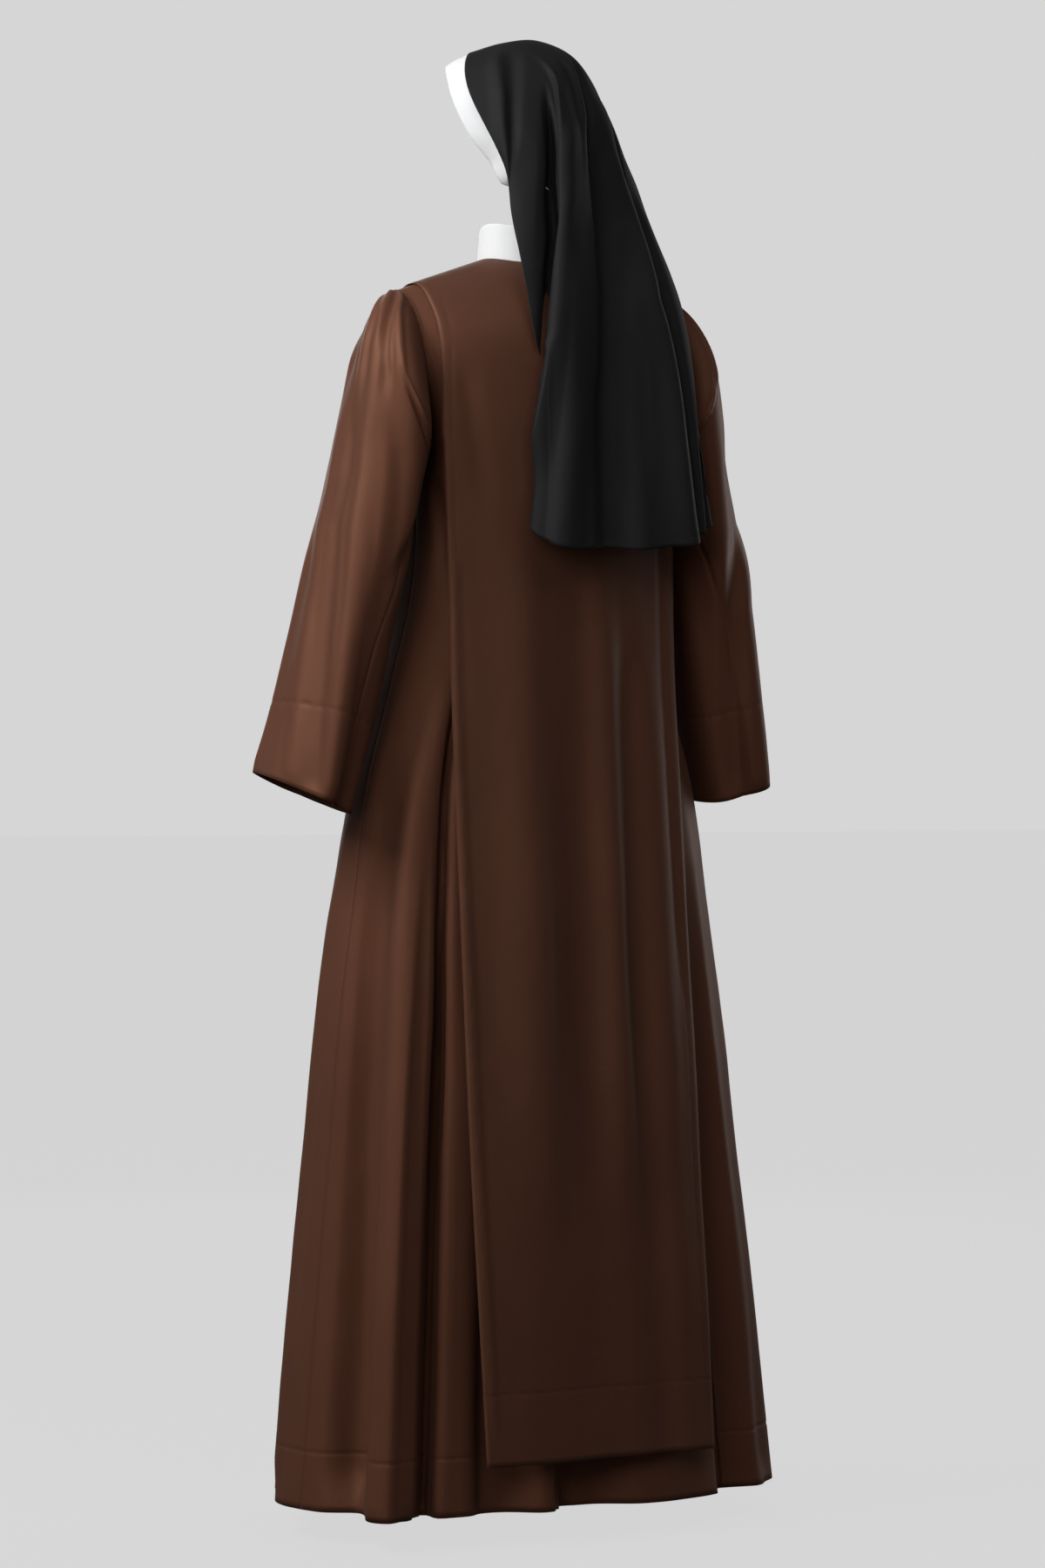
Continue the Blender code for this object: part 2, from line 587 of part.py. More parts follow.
def veil_line(at, angles):
    """Outer points across the veil at angles from -90, its left edge, to 90, its right edge."""
    left, middle, right = [veil_place(name, at) for name in ("left", "middle", "right")]
    root = (left + right) / 2
    side = (right - left) / 2
    reach = middle - root
    forward = unit(np.cross(reach, side))
    points = []
    for angle in angles:
        a = math.radians(angle)
        out = 0.0
        for fold in VEIL_FOLDS:
            line = float(np.interp(at, fold["along"], fold["angle"]))
            grown = ease((at - fold["starts"]) / (fold["full"] - fold["starts"]))
            out += fold["depth"] * grown * swell(angle - line, fold["half width"])
        push = unit(math.cos(a) * unit(reach) + math.sin(a) * unit(side))
        bow = along(VEIL, "along", "bow", at) * math.sin(2 * a) ** 2
        points.append(root + math.cos(a) * reach + math.sin(a) * side + push * out + forward * bow)
    return np.array(points)


def veil_grid():
    """Outer points of the veil, front edge first, with columns anticlockwise seen from above."""
    angles = [90 - 180 * c / VEIL_COLUMNS for c in range(VEIL_COLUMNS + 1)]
    return np.array([veil_line(at, angles) for at in VEIL_ROWS])[:, ::-1]


def build_veil():
    wall("veil", veil_grid(), VEIL_CLOTH)


def band_path(turn):
    """The path that the band follows: under the veil's front edge, then lower round the back."""
    if abs(turn) <= 90:
        return veil_line(0.0, [turn])[0]
    left, right = veil_place("left", 0.0), veil_place("right", 0.0)
    root, side = (left + right) / 2, (right - left) / 2
    rearmost = BAND_BACK_REACH * np.array(BAND_BACKWARD) - np.array([0, 0, BAND_BACK_DROP])
    a = math.radians(turn)
    return root + math.sin(a) * side - math.cos(a) * rearmost


def build_band():
    """The white band, a curved strip whose width is square to its path."""
    centre = np.array(BAND_CENTRE)
    turns = [-180 + 360 * i / BAND_COLUMNS for i in range(BAND_COLUMNS)]
    rows = [[], [], [], []]
    for turn in turns:
        here = band_path(turn)
        ahead, behind = band_path(turned(turn + 4)), band_path(turned(turn - 4))
        tangent = unit(ahead - behind)
        outward = unit(here - centre)
        if abs(turn) < 80:
            # Under the veil the band lies along the veil's own surface.
            onward = veil_line(0.03, [turn])[0] - here
            laid = unit(np.cross(onward, tangent))
            outward += (laid - outward) * ease((90 - abs(turn)) / 25)
        outward = unit(outward - tangent * (outward @ tangent))
        forward = np.cross(outward, tangent)
        shows = BAND_SHOWS_AT_SIDE
        shows += (BAND_SHOWS_AT_MIDDLE - BAND_SHOWS_AT_SIDE) * swell(turn, 22)
        inset = BAND_INSET_AT_MIDDLE
        inset += (BAND_INSET_AT_SIDE - BAND_INSET_AT_MIDDLE) * ease((abs(turn) - 45) / 45)
        for row, step in zip(rows, (shows, shows * 0.6, shows * 0.15, -BAND_UNDER)):
            drop = inset + step**2 / (2 * BAND_CURVE_RADIUS)
            row.append(here + forward * step - outward * drop)
    wall("veil_band", rows, CLOTH, ring=True)


def main():
    clear_scene()
    build_tunic_body()
    build_sleeves()
    build_scapular()
    build_collar()
    build_veil()
    build_band()


main()
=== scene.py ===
"""The habit dressed for rendering: brown tunic and scapular, white collar and band, black veil.

Metres, +Z up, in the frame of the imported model. Each piece of cloth is a thin shell on the form of its node,
with finer folds, turned hems and lines of stitching.
"""

import math

import bpy
import numpy as np
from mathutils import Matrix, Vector


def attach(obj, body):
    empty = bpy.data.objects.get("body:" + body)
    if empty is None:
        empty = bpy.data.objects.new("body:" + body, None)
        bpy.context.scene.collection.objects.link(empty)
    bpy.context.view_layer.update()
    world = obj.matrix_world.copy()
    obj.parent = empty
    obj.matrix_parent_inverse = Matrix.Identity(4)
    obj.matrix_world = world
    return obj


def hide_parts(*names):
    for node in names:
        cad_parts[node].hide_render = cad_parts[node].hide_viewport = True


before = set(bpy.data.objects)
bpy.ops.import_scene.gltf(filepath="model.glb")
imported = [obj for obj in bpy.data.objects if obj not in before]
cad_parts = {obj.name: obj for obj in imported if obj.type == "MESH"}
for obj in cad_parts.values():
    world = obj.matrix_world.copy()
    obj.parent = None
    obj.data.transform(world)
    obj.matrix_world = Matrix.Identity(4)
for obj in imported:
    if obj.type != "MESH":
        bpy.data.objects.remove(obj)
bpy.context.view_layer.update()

def rows_of(columns, *rows):
    """A table with named columns, as a dict for each row. A row may end in a dict of what it alone has."""
    return tuple({**dict(zip(columns, row)), **dict(*row[len(columns) :])} for row in rows)


# Form of the garment. It is the solids' form in thinner cloth. The seams are closer, so that no light falls
# through, and the cuff leans more, so that its inside stays hidden.
CLOTH = 0.0011
VEIL_CLOTH = 0.0007
LINEN = 0.0012
SEAM_GAP = 0.00008
LAY_GAP = 0.0009

NECK_HALF_WIDTH = 0.0575
NECK_BACK = 0.055
NECK_FRONT = 0.067
NECK_POINT_Z = -0.005
SHOULDER_SLOPE = 0.35
UNDERARM_Z = -0.215
RIGHT_SHOULDER_RAISED = 0.012
HEM_Z = -1.426
RING_POWER = 2.4

ARMHOLE = {
    "share up": (0.0, 0.12, 0.30, 0.55, 0.80, 1.0),
    "half width": (0.150, 0.1515, 0.157, 0.165, 0.171, 0.176),
}
BODY = {
    "height": (0.03, -0.06, -0.14, -0.215, -0.3, -0.4, -0.5, -0.6, -0.75, -0.9, -1.1, -1.3, -1.426),
    "half width": (0.215, 0.205, 0.178, 0.150, 0.147, 0.156, 0.180, 0.208, 0.233, 0.249, 0.267, 0.284, 0.296),
    "front": (0.100, 0.112, 0.128, 0.138, 0.140, 0.138, 0.138, 0.142, 0.152, 0.164, 0.180, 0.194, 0.203),
    "back": (0.088, 0.093, 0.098, 0.097, 0.092, 0.088, 0.088, 0.094, 0.106, 0.118, 0.133, 0.147, 0.156),
}
ROUNDING = {"front": 0.15, "back": 0.11}
NECK_DEPTH = {"front": NECK_FRONT, "back": NECK_BACK}

SKIRT_FOLDS = rows_of(
    ("angle", "depth", "half width", "starts", "full"),
    (101, 0.007, 10, -0.55, -1.30),
    (84, -0.006, 6, -0.60, -1.30),
    (69, -0.030, 8, -0.50, -1.25),
    (48, 0.034, 7.5, -0.42, -1.25),
    (41.5, -0.042, 3.6, -0.42, -1.15),
    (21, -0.020, 8, -0.70, -1.30),
    (10, 0.006, 4, -0.75, -1.30),
    (1, -0.024, 5, -0.70, -1.30),
    (-16, 0.010, 8, -0.65, -1.30),
    (-29, 0.008, 6, -0.60, -1.30),
    (-40, -0.018, 4.5, -0.45, -1.20),
    (-52, 0.014, 7, -0.50, -1.30),
    (-66, 0.014, 6, -0.60, -1.40),
    (-80, -0.013, 6, -0.55, -1.30),
    (-95, 0.010, 8, -0.55, -1.30),
    (-114, -0.016, 7, -0.60, -1.30),
    (-130, 0.020, 8, -0.50, -1.25),
    (-145, -0.018, 6, -0.55, -1.25),
    (-160, 0.008, 8, -0.60, -1.30),
    (177, -0.012, 6, -0.70, -1.30),
    (161, 0.006, 7, -0.60, -1.30),
    (147, -0.022, 6, -0.50, -1.25),
    (132, 0.018, 8, -0.50, -1.25),
    (117, -0.016, 6, -0.55, -1.30),
)
NECK_COLUMN = 3
COVERED_COLUMN = 6
QUARTER_ANGLES = (0, 5, 10, 16, 22, 29, 37, 41.5, 46.5, 53, 60, 68, 75, 82, 90)
LAST_COLUMN = 14

SCAPULAR_HALF_WIDTH = 0.153
SCAPULAR_HEM_Z = -1.368
SCAPULAR = {
    "height": (0.0, -0.08, -0.14, -0.20, -0.30, -0.50, -0.75, -1.00, -1.20, -1.368),
    "back": (0.096, 0.1035, 0.1065, 0.1070, 0.1060, 0.1080, 0.1240, 0.1430, 0.1610, 0.1760),
    "front": (0.110, 0.126, 0.142, 0.149, 0.151, 0.153, 0.168, 0.186, 0.203, 0.217),
    "roundness": (0.21, 0.21, 0.21, 0.21, 0.22, 0.25, 0.32, 0.42, 0.55, 0.70),
    "narrowing": (0.0, 0.0, 0.0, 0.001, 0.003, 0.004, 0.003, 0.002, 0.002, 0.003),
}
SCAPULAR_FREE_FROM = -0.055
SCAPULAR_FREE_AT = -0.13
SCAPULAR_WAVES = rows_of(
    ("place", "depth", "half width"),
    (-0.74, 0.0030, 0.14),
    (-0.53, -0.0040, 0.14),
    (-0.30, 0.0045, 0.18),
    (-0.02, -0.0055, 0.20),
    (0.40, 0.0065, 0.24),
)

SLEEVE = {
    "along": (0.0, 0.10, 0.22, 0.36, 0.54, 0.72, 0.87, 1.0),
    "x": (0.170, 0.184, 0.1925, 0.2025, 0.2185, 0.2400, 0.2605, 0.2800),
    "y": (0.012, 0.023, 0.020, 0.010, 0.001, -0.008, -0.016, -0.022),
    "z": (-0.126, -0.145, -0.1835, -0.250, -0.350, -0.455, -0.545, -0.620),
    "tip": (84, 71, 55, 31, 16, 15, 18, 23),
    "lean": (0, 0, 0, 0, 0, 0, -3, -9),
    "across": (0.082, 0.0825, 0.064, 0.0480, 0.047, 0.048, 0.049, 0.050),
    "deep": (0.058, 0.066, 0.074, 0.082, 0.087, 0.086, 0.083, 0.081),
}
SLEEVE_SET_IN = 0.0007
SLEEVE_BLENDS_OVER = 0.20
SLEEVE_FOLDS = rows_of(
    ("turn", "drift", "depth", "half width"),
    (-6, 90, -0.0040, 15),
    (26, 90, 0.0055, 16),
    (72, 40, -0.0045, 20),
    (132, -40, -0.0045, 18),
    (215, 10, -0.0040, 20),
    (262, 10, 0.0040, 20),
    (306, 20, 0.0030, 18),
)

COLLAR_CLEARANCE = 0.0014
COLLAR_DROP = 0.010
COLLAR_HEIGHT = 0.043
COLLAR_LEAN = 0.06
COLLAR_CLOTH = 0.0022

VEIL = {
    "along": (0.0, 0.08, 0.16, 0.25, 0.34, 0.43, 0.53, 0.64, 0.76, 0.88, 1.0),
    "left x": (0.0576, 0.058, 0.0585, 0.059, 0.059, 0.0576, 0.055, 0.052, 0.048, 0.053, 0.065),
    "left y": (0.0561, 0.059, 0.0625, 0.067, 0.074, 0.083, 0.096, 0.108, 0.113, 0.116, 0.12),
    "left z": (0.0877, 0.076, 0.062, 0.044, 0.022, -0.005, -0.052, -0.108, -0.177, -0.248, -0.318),
    "middle x": (0.0506, 0.02, -0.0105, -0.044, -0.066, -0.08, -0.0925, -0.1, -0.09, -0.064, -0.035),
    "middle y": (-0.0424, -0.0168, 0.0088, 0.0369, 0.0554, 0.0671, 0.078, 0.107, 0.13, 0.148, 0.162),
    "middle z": (0.2415, 0.2515, 0.2525, 0.23, 0.18, 0.12, 0.045, -0.05, -0.15, -0.245, -0.345),
    "right x": (-0.0453, -0.051, -0.0585, -0.067, -0.082, -0.1, -0.118, -0.138, -0.154, -0.162, -0.166),
    "right y": (-0.0664, -0.065, -0.058, -0.043, -0.024, 0.005, 0.042, 0.078, 0.106, 0.126, 0.142),
    "right z": (0.0877, 0.074, 0.058, 0.038, 0.016, -0.003, -0.026, -0.08, -0.155, -0.232, -0.31),
    "bow": (0.011, 0.009, 0.006, 0.002, 0.0, 0.0, 0.0, 0.0, 0.0, 0.0, 0.0),
}
VEIL_FOLDS = rows_of(
    ("along", "angle", "depth", "half width", "starts", "full"),
    ((0.27, 0.39, 0.53, 0.65, 0.74), (-48, -58, -68, -80, -108), -0.009, 8, 0.14, 0.36),
    ((0.36, 0.49, 0.62, 0.76, 0.90, 1.0), (-41, -46, -56, -57, -48, -39), 0.008, 10, 0.16, 0.50),
    ((0.43, 0.53, 0.65, 0.77, 0.90, 1.0), (-18, -17, -26, -27, -16, -7), -0.010, 11, 0.20, 0.60),
    ((0.41, 0.53, 0.65, 0.78, 0.91, 1.0), (-7, 0, 0, 15, 32, 44), 0.008, 8, 0.24, 0.60),
    ((0.41, 0.53, 0.65, 0.78, 0.91, 1.0), (3, 10, 10, 26, 43, 55), -0.010, 7, 0.24, 0.60),
    ((0.30, 0.60, 1.0), (48, 52, 76), -0.006, 8, 0.16, 0.50),
)
BAND_CENTRE = (0.0, 0.0, 0.155)
BAND_BACKWARD = (-0.766, 0.643, 0.0)
BAND_SHOWS_AT_MIDDLE = 0.033
BAND_SHOWS_AT_SIDE = 0.022
BAND_UNDER = 0.006
BAND_INSET_AT_MIDDLE = 0.0018
BAND_INSET_AT_SIDE = 0.0095
BAND_CURVE_RADIUS = 0.09
BAND_BACK_REACH = 0.064
BAND_BACK_DROP = 0.040

# How finely each piece is made: points across and down, and those added close to lines of sewing.
PANEL_POINTS = (185, 48, 150)
SCAPULAR_POINTS = (85, 44, 170)
SLEEVE_POINTS = (168, 140)
VEIL_POINTS = (200, 160)
BAND_POINTS = (168, 14)
COLLAR_POINTS = (144, 22)
ARMHOLE_ROWS = 60
RELIEF_WAVES = 14
RUMPLE = ((0.16, 0.0011), (0.055, 0.00032), (0.022, 0.00009))
CREASE = ("down", "across", "depth", "before", "after", "fades")
BESIDE_A_LINE = (-0.0060, -0.0035, -0.0018, 0.0, 0.0018, 0.0035, 0.0060)


def ease(t):
    t = np.clip(t, 0.0, 1.0)
    return t * t * (3 - 2 * t)


def along(table, key, column, at):
    """The table's column at values of its key, on a smooth curve through its rows."""
    keys, values = np.array(table[key], float), np.array(table[column], float)
    if keys[0] > keys[-1]:
        keys, values = keys[::-1], values[::-1]
    slopes = np.gradient(values, keys)
    at = np.clip(np.asarray(at, float), keys[0], keys[-1])
    i = np.clip(np.searchsorted(keys, at, side="right") - 1, 0, len(keys) - 2)
    span = keys[i + 1] - keys[i]
    t = (at - keys[i]) / span
    return (
        (2 * t**3 - 3 * t**2 + 1) * values[i]
        + (t**3 - 2 * t**2 + t) * span * slopes[i]
        + (3 * t**2 - 2 * t**3) * values[i + 1]
        + (t**3 - t**2) * span * slopes[i + 1]
    )


def swell(distance, half_width):
    """A soft ridge: 1 at its middle, nothing beyond twice its half width."""
    t = np.minimum(np.abs(distance) / (2 * np.asarray(half_width, float)), 1.0)
    return np.cos(t * math.pi / 2) ** 2


def turned(angle):
    return (angle + 180) % 360 - 180


def unit(vectors):
    return vectors / np.linalg.norm(vectors, axis=-1, keepdims=True)


def step_across(points, ring):
    if ring:
        return (np.roll(points, -1, axis=1) - np.roll(points, 1, axis=1)) / 2
    return np.gradient(points, axis=1)


def grid_normals(points, ring=False):
    """Outward normals of a grid whose rows run down and whose columns run anticlockwise seen from above."""
    return unit(np.cross(np.gradient(points, axis=0), step_across(points, ring)))


def raised(points):
    """The points with the right shoulder a little higher than the left."""
    points = np.array(points, float)
    rise = RIGHT_SHOULDER_RAISED * ease(-points[..., 0] / 0.15)
    points[..., 2] += rise * ease((points[..., 2] + 0.50) / 0.28)
    return points


def refined(even, places, metres=1.0):
    """The even steps, with shorter ones close to the given places. metres is the length of a unit."""
    extra = np.array([place + offset / metres for place in places for offset in BESIDE_A_LINE])
    apart = np.abs(even[:, None] - extra[None, :]).min(axis=1)
    keep = apart > 0.4 * np.abs(np.diff(even)).mean()
    keep[0] = keep[-1] = True
    values = np.sort(np.concatenate([even[keep], extra]))
    return values if even[-1] > even[0] else values[::-1]


def undulation(points, size, seed, upright=0.4):
    """A soft irregular relief from about -1 to 1, the same for any two pieces where they meet.

    Its swells are drawn out along the height of the hanging cloth.
    """
    random = np.random.default_rng(seed)
    total = np.zeros(points.shape[:-1])
    for _ in range(RELIEF_WAVES):
        direction = random.normal(size=3)
        direction = direction / np.linalg.norm(direction) * np.array([1, 1, upright])
        length = size * random.uniform(0.7, 1.6)
        total += np.sin(points @ direction * 2 * math.pi / length + random.uniform(0, 2 * math.pi))
    return total / math.sqrt(RELIEF_WAVES)


def rumpled(grid, share, ring=False, normals=None):
    """The grid with the slight unevenness of cloth that hangs. share grows from 0 where it is held."""
    if normals is None:
        normals = grid_normals(grid, ring)
    relief = sum(depth * undulation(grid, size, seed) for seed, (size, depth) in enumerate(RUMPLE))
    return grid + normals * (relief * share)[..., None]


def metres_across(grid, across, ring=False):
    """Metres of cloth for one unit of the coordinate that runs across."""
    per_point = np.abs(turned(step_across(across, ring)))
    if ring:
        per_point = np.median(per_point) + 0 * per_point
    return np.linalg.norm(step_across(grid, ring), axis=-1) / per_point


def creased(grid, across, down, creases, ring=False, normals=None, scale=None):
    """The grid with soft ridges and troughs laid along paths in its own coordinates, across and down.

    A crease's width may differ before and after its line, and its crest may lean over towards one side.
    """
    if normals is None:
        normals = grid_normals(grid, ring)
    sideways = step_across(grid, ring)
    scale = metres_across(grid, across, ring) if scale is None else scale
    metres_down = np.linalg.norm(np.gradient(grid, axis=0), axis=-1) / np.abs(np.gradient(down, axis=0))
    direction = unit(sideways) * np.sign(np.median(step_across(across, ring)))
    out = np.zeros(across.shape)
    lean = np.zeros(across.shape)
    for crease in creases:
        runs_across = crease.get("runs") == "across"
        if runs_across:
            line, place, metres = across, down, metres_down
            path = np.interp(line, crease["across"], crease["down"])
            ends = crease["across"][0], crease["across"][-1]
        else:
            line, place, metres = down, across, scale
            path = np.interp(line, crease["down"], crease["across"])
            ends = crease["down"][0], crease["down"][-1]
        distance = turned(place - path) * metres
        width = np.where(distance < 0, crease["before"], crease["after"])
        fade_in, fade_out = crease["fades"]
        grown = ease((line - ends[0]) / fade_in) * ease((ends[1] - line) / fade_out)
        shape = swell(distance, width) * grown
        if "puckers" in crease:
            steps = line * 2 * math.pi / crease["puckers"]
            shape = shape * (0.55 + 0.45 * np.sin(steps + 2.0 * np.sin(0.23 * steps)))
        out += crease["depth"] * shape
        lean += crease.get("lean", 0.0) * shape
    return grid + normals * out[..., None] + direction * lean[..., None]


def cloth_coordinates(grid):
    """How far each point is across and down the cloth, in metres."""
    wide = np.linalg.norm(np.diff(grid, axis=1), axis=-1)
    long = np.linalg.norm(np.diff(grid, axis=0), axis=-1)
    u = np.concatenate([np.zeros((grid.shape[0], 1)), np.cumsum(wide, axis=1)], axis=1)
    v = np.concatenate([np.zeros((1, grid.shape[1])), np.cumsum(long, axis=0)], axis=0)
    middle = u[:, grid.shape[1] // 2][:, None]
    return u - middle, v


def shell(name, outer, thickness, material, ring=False, normals=None):
    """A piece of cloth with two faces and turned edges. The thickness may differ from row to row."""
    if normals is None:
        normals = grid_normals(outer, ring)
    thickness = np.broadcast_to(np.asarray(thickness, float), (outer.shape[0],))
    inner = outer - normals * thickness[:, None, None]
    rows, columns = outer.shape[:2]
    layer = rows * columns
    index = np.arange(layer).reshape(rows, columns)
    if ring:
        index = np.concatenate([index, index[:, :1]], axis=1)
    here, beside = index[:-1, :-1], index[:-1, 1:]
    below, across = index[1:, :-1], index[1:, 1:]
    quads = [np.stack([here, below, across, beside], -1).reshape(-1, 4)]
    quads.append(np.stack([here, beside, across, below], -1).reshape(-1, 4) + layer)
    top, last = index[0], index[-1]
    quads.append(np.stack([top[:-1], top[1:], top[1:] + layer, top[:-1] + layer], -1))
    quads.append(np.stack([last[1:], last[:-1], last[:-1] + layer, last[1:] + layer], -1))
    if not ring:
        left, right = index[:, 0], index[:, -1]
        quads.append(np.stack([left[1:], left[:-1], left[:-1] + layer, left[1:] + layer], -1))
        quads.append(np.stack([right[:-1], right[1:], right[1:] + layer, right[:-1] + layer], -1))
    faces = np.concatenate(quads)
    on_a_face = np.arange(len(faces)) < len(quads[0]) + len(quads[1])
    mesh = bpy.data.meshes.new(name)
    points = np.concatenate([outer.reshape(-1, 3), inner.reshape(-1, 3)])
    mesh.from_pydata(points.tolist(), [], faces.tolist())
    u, v = cloth_coordinates(outer)
    flat = np.stack([u, v], -1).reshape(-1, 2)
    flat = np.concatenate([flat, flat])
    corners = np.empty(len(mesh.loops), int)
    mesh.loops.foreach_get("vertex_index", corners)
    mesh.uv_layers.new(name="cloth").data.foreach_set("uv", flat[corners].ravel())
    mesh.polygons.foreach_set("use_smooth", on_a_face)
    mesh.materials.append(material)
    piece = bpy.data.objects.new(name, mesh)
    bpy.context.scene.collection.objects.link(piece)
    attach(piece, "root")
    return piece


def stitches(name, line, normals, material, pitch=0.0034, length=0.0024, width=0.00055, proud=0.00035):
    """A row of short threads laid along a line on the cloth."""
    line, normals = np.asarray(line, float), np.asarray(normals, float)
    run = np.concatenate([[0], np.cumsum(np.linalg.norm(np.diff(line, axis=0), axis=1))])
    count = max(2, int(run[-1] / pitch))
    at = (np.arange(count) + 0.5) * run[-1] / count

    def sample(values, s):
        return np.stack([np.interp(s, run, values[:, axis]) for axis in range(3)], axis=1)

    middle, up = sample(line, at), unit(sample(normals, at))
    ahead = unit(sample(line, at + pitch / 4) - sample(line, at - pitch / 4))
    side = unit(np.cross(up, ahead))
    ends = [middle + ahead * length / 2 * s - up * 0.0002 for s in (-1, 1)]
    shoulders = []
    for s in (-0.32, 0.32):
        shoulders.append(middle + ahead * length * s + side * width / 2)
        shoulders.append(middle + ahead * length * s + up * proud)
        shoulders.append(middle + ahead * length * s - side * width / 2)
    points = np.stack([ends[0], *shoulders, ends[1]], axis=1).reshape(-1, 3)
    one = [(0, 2, 1), (0, 3, 2), (1, 2, 5, 4), (2, 3, 6, 5), (4, 5, 7), (5, 6, 7)]
    faces = [tuple(8 * k + i for i in face) for k in range(count) for face in one]
    mesh = bpy.data.meshes.new(name)
    mesh.from_pydata(points.tolist(), [], faces)
    mesh.shade_smooth()
    mesh.materials.append(material)
    piece = bpy.data.objects.new(name, mesh)
    bpy.context.scene.collection.objects.link(piece)
    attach(piece, "root")
    return piece


# Materials.
def node(tree, kind, **settings):
    made = tree.nodes.new(kind)
    for key, value in settings.items():
        setattr(made, key, value)
    return made


PATCHES_PER_METRE = 9.0
SLUBS_PER_METRE = (700, 60, 1)
NOISE_SPREAD = 0.18
ROUGHNESS_SPREAD = 0.05
WEAVE_RELIEF = 0.0004


def cloth_material(
    name, colour, deep, roughness, specular, gloss_colour, sheen, sheen_colour, weave, bump, mottle=0.5
):
    """Woven cloth with small differences of colour, a little lighter in soft patches."""
    made = bpy.data.materials.new(name)
    made.use_nodes = True
    tree = made.node_tree
    shader = tree.nodes["Principled BSDF"]
    shader.inputs["Metallic"].default_value = 0.0
    shader.inputs["Specular IOR Level"].default_value = specular
    shader.inputs["Specular Tint"].default_value = (*gloss_colour, 1)
    shader.inputs["Sheen Weight"].default_value = sheen
    shader.inputs["Sheen Roughness"].default_value = 0.45
    shader.inputs["Sheen Tint"].default_value = (*sheen_colour, 1)
    place = node(tree, "ShaderNodeTexCoord")
    cloth = node(tree, "ShaderNodeUVMap", uv_map="cloth")
    # Soft patches, a hand's breadth across and smaller.
    patches = node(tree, "ShaderNodeTexNoise")
    patches.inputs["Scale"].default_value = PATCHES_PER_METRE
    patches.inputs["Detail"].default_value = 5.0
    patches.inputs["Roughness"].default_value = 0.62
    tree.links.new(place.outputs["Object"], patches.inputs["Vector"])
    # Slubs: the yarn's own unevenness, drawn out along the cloth's length.
    stretch = node(tree, "ShaderNodeMapping")
    stretch.inputs["Scale"].default_value = SLUBS_PER_METRE
    tree.links.new(cloth.outputs["UV"], stretch.inputs["Vector"])
    slubs = node(tree, "ShaderNodeTexNoise")
    slubs.inputs["Scale"].default_value = 1.0
    slubs.inputs["Detail"].default_value = 3.0
    tree.links.new(stretch.outputs["Vector"], slubs.inputs["Vector"])
    blend = node(tree, "ShaderNodeMix", data_type="FLOAT")
    blend.inputs["Factor"].default_value = 0.35
    tree.links.new(patches.outputs["Fac"], blend.inputs["A"])
    tree.links.new(slubs.outputs["Fac"], blend.inputs["B"])
    shade = node(tree, "ShaderNodeMapRange")
    shade.inputs["From Min"].default_value = 0.5 - NOISE_SPREAD
    shade.inputs["From Max"].default_value = 0.5 + NOISE_SPREAD
    shade.inputs["To Min"].default_value = 0.5 - mottle / 2
    shade.inputs["To Max"].default_value = 0.5 + mottle / 2
    tree.links.new(blend.outputs["Result"], shade.inputs["Value"])
    tint = node(tree, "ShaderNodeMix", data_type="RGBA")
    tint.inputs["A"].default_value = (*deep, 1)
    tint.inputs["B"].default_value = (*colour, 1)
    tree.links.new(shade.outputs["Result"], tint.inputs["Factor"])
    tree.links.new(tint.outputs["Result"], shader.inputs["Base Color"])
    rough = node(tree, "ShaderNodeMapRange")
    rough.inputs["To Min"].default_value = roughness + ROUGHNESS_SPREAD
    rough.inputs["To Max"].default_value = roughness - ROUGHNESS_SPREAD
    tree.links.new(patches.outputs["Fac"], rough.inputs["Value"])
    tree.links.new(rough.outputs["Result"], shader.inputs["Roughness"])
    # The weave's ribs, and the fine grain of its fibres.
    turn = node(tree, "ShaderNodeMapping")
    turn.inputs["Rotation"].default_value = (0, 0, math.radians(weave["slant"]))
    tree.links.new(cloth.outputs["UV"], turn.inputs["Vector"])
    ribs = node(tree, "ShaderNodeTexWave", wave_type="BANDS", bands_direction="X", wave_profile="SIN")
    ribs.inputs["Scale"].default_value = weave["ribs"]
    ribs.inputs["Distortion"].default_value = 1.2
    ribs.inputs["Detail"].default_value = 2.0
    ribs.inputs["Detail Scale"].default_value = 3.0
    tree.links.new(turn.outputs["Vector"], ribs.inputs["Vector"])
    grain = node(tree, "ShaderNodeTexNoise")
    grain.inputs["Scale"].default_value = weave["grain"]
    grain.inputs["Detail"].default_value = 4.0
    tree.links.new(place.outputs["Object"], grain.inputs["Vector"])
    height = node(tree, "ShaderNodeMix", data_type="FLOAT")
    height.inputs["Factor"].default_value = 0.55
    tree.links.new(ribs.outputs["Fac"], height.inputs["A"])
    tree.links.new(grain.outputs["Fac"], height.inputs["B"])
    relief = node(tree, "ShaderNodeBump")
    relief.inputs["Strength"].default_value = bump
    relief.inputs["Distance"].default_value = WEAVE_RELIEF
    tree.links.new(height.outputs["Result"], relief.inputs["Height"])
    tree.links.new(relief.outputs["Normal"], shader.inputs["Normal"])
    return made


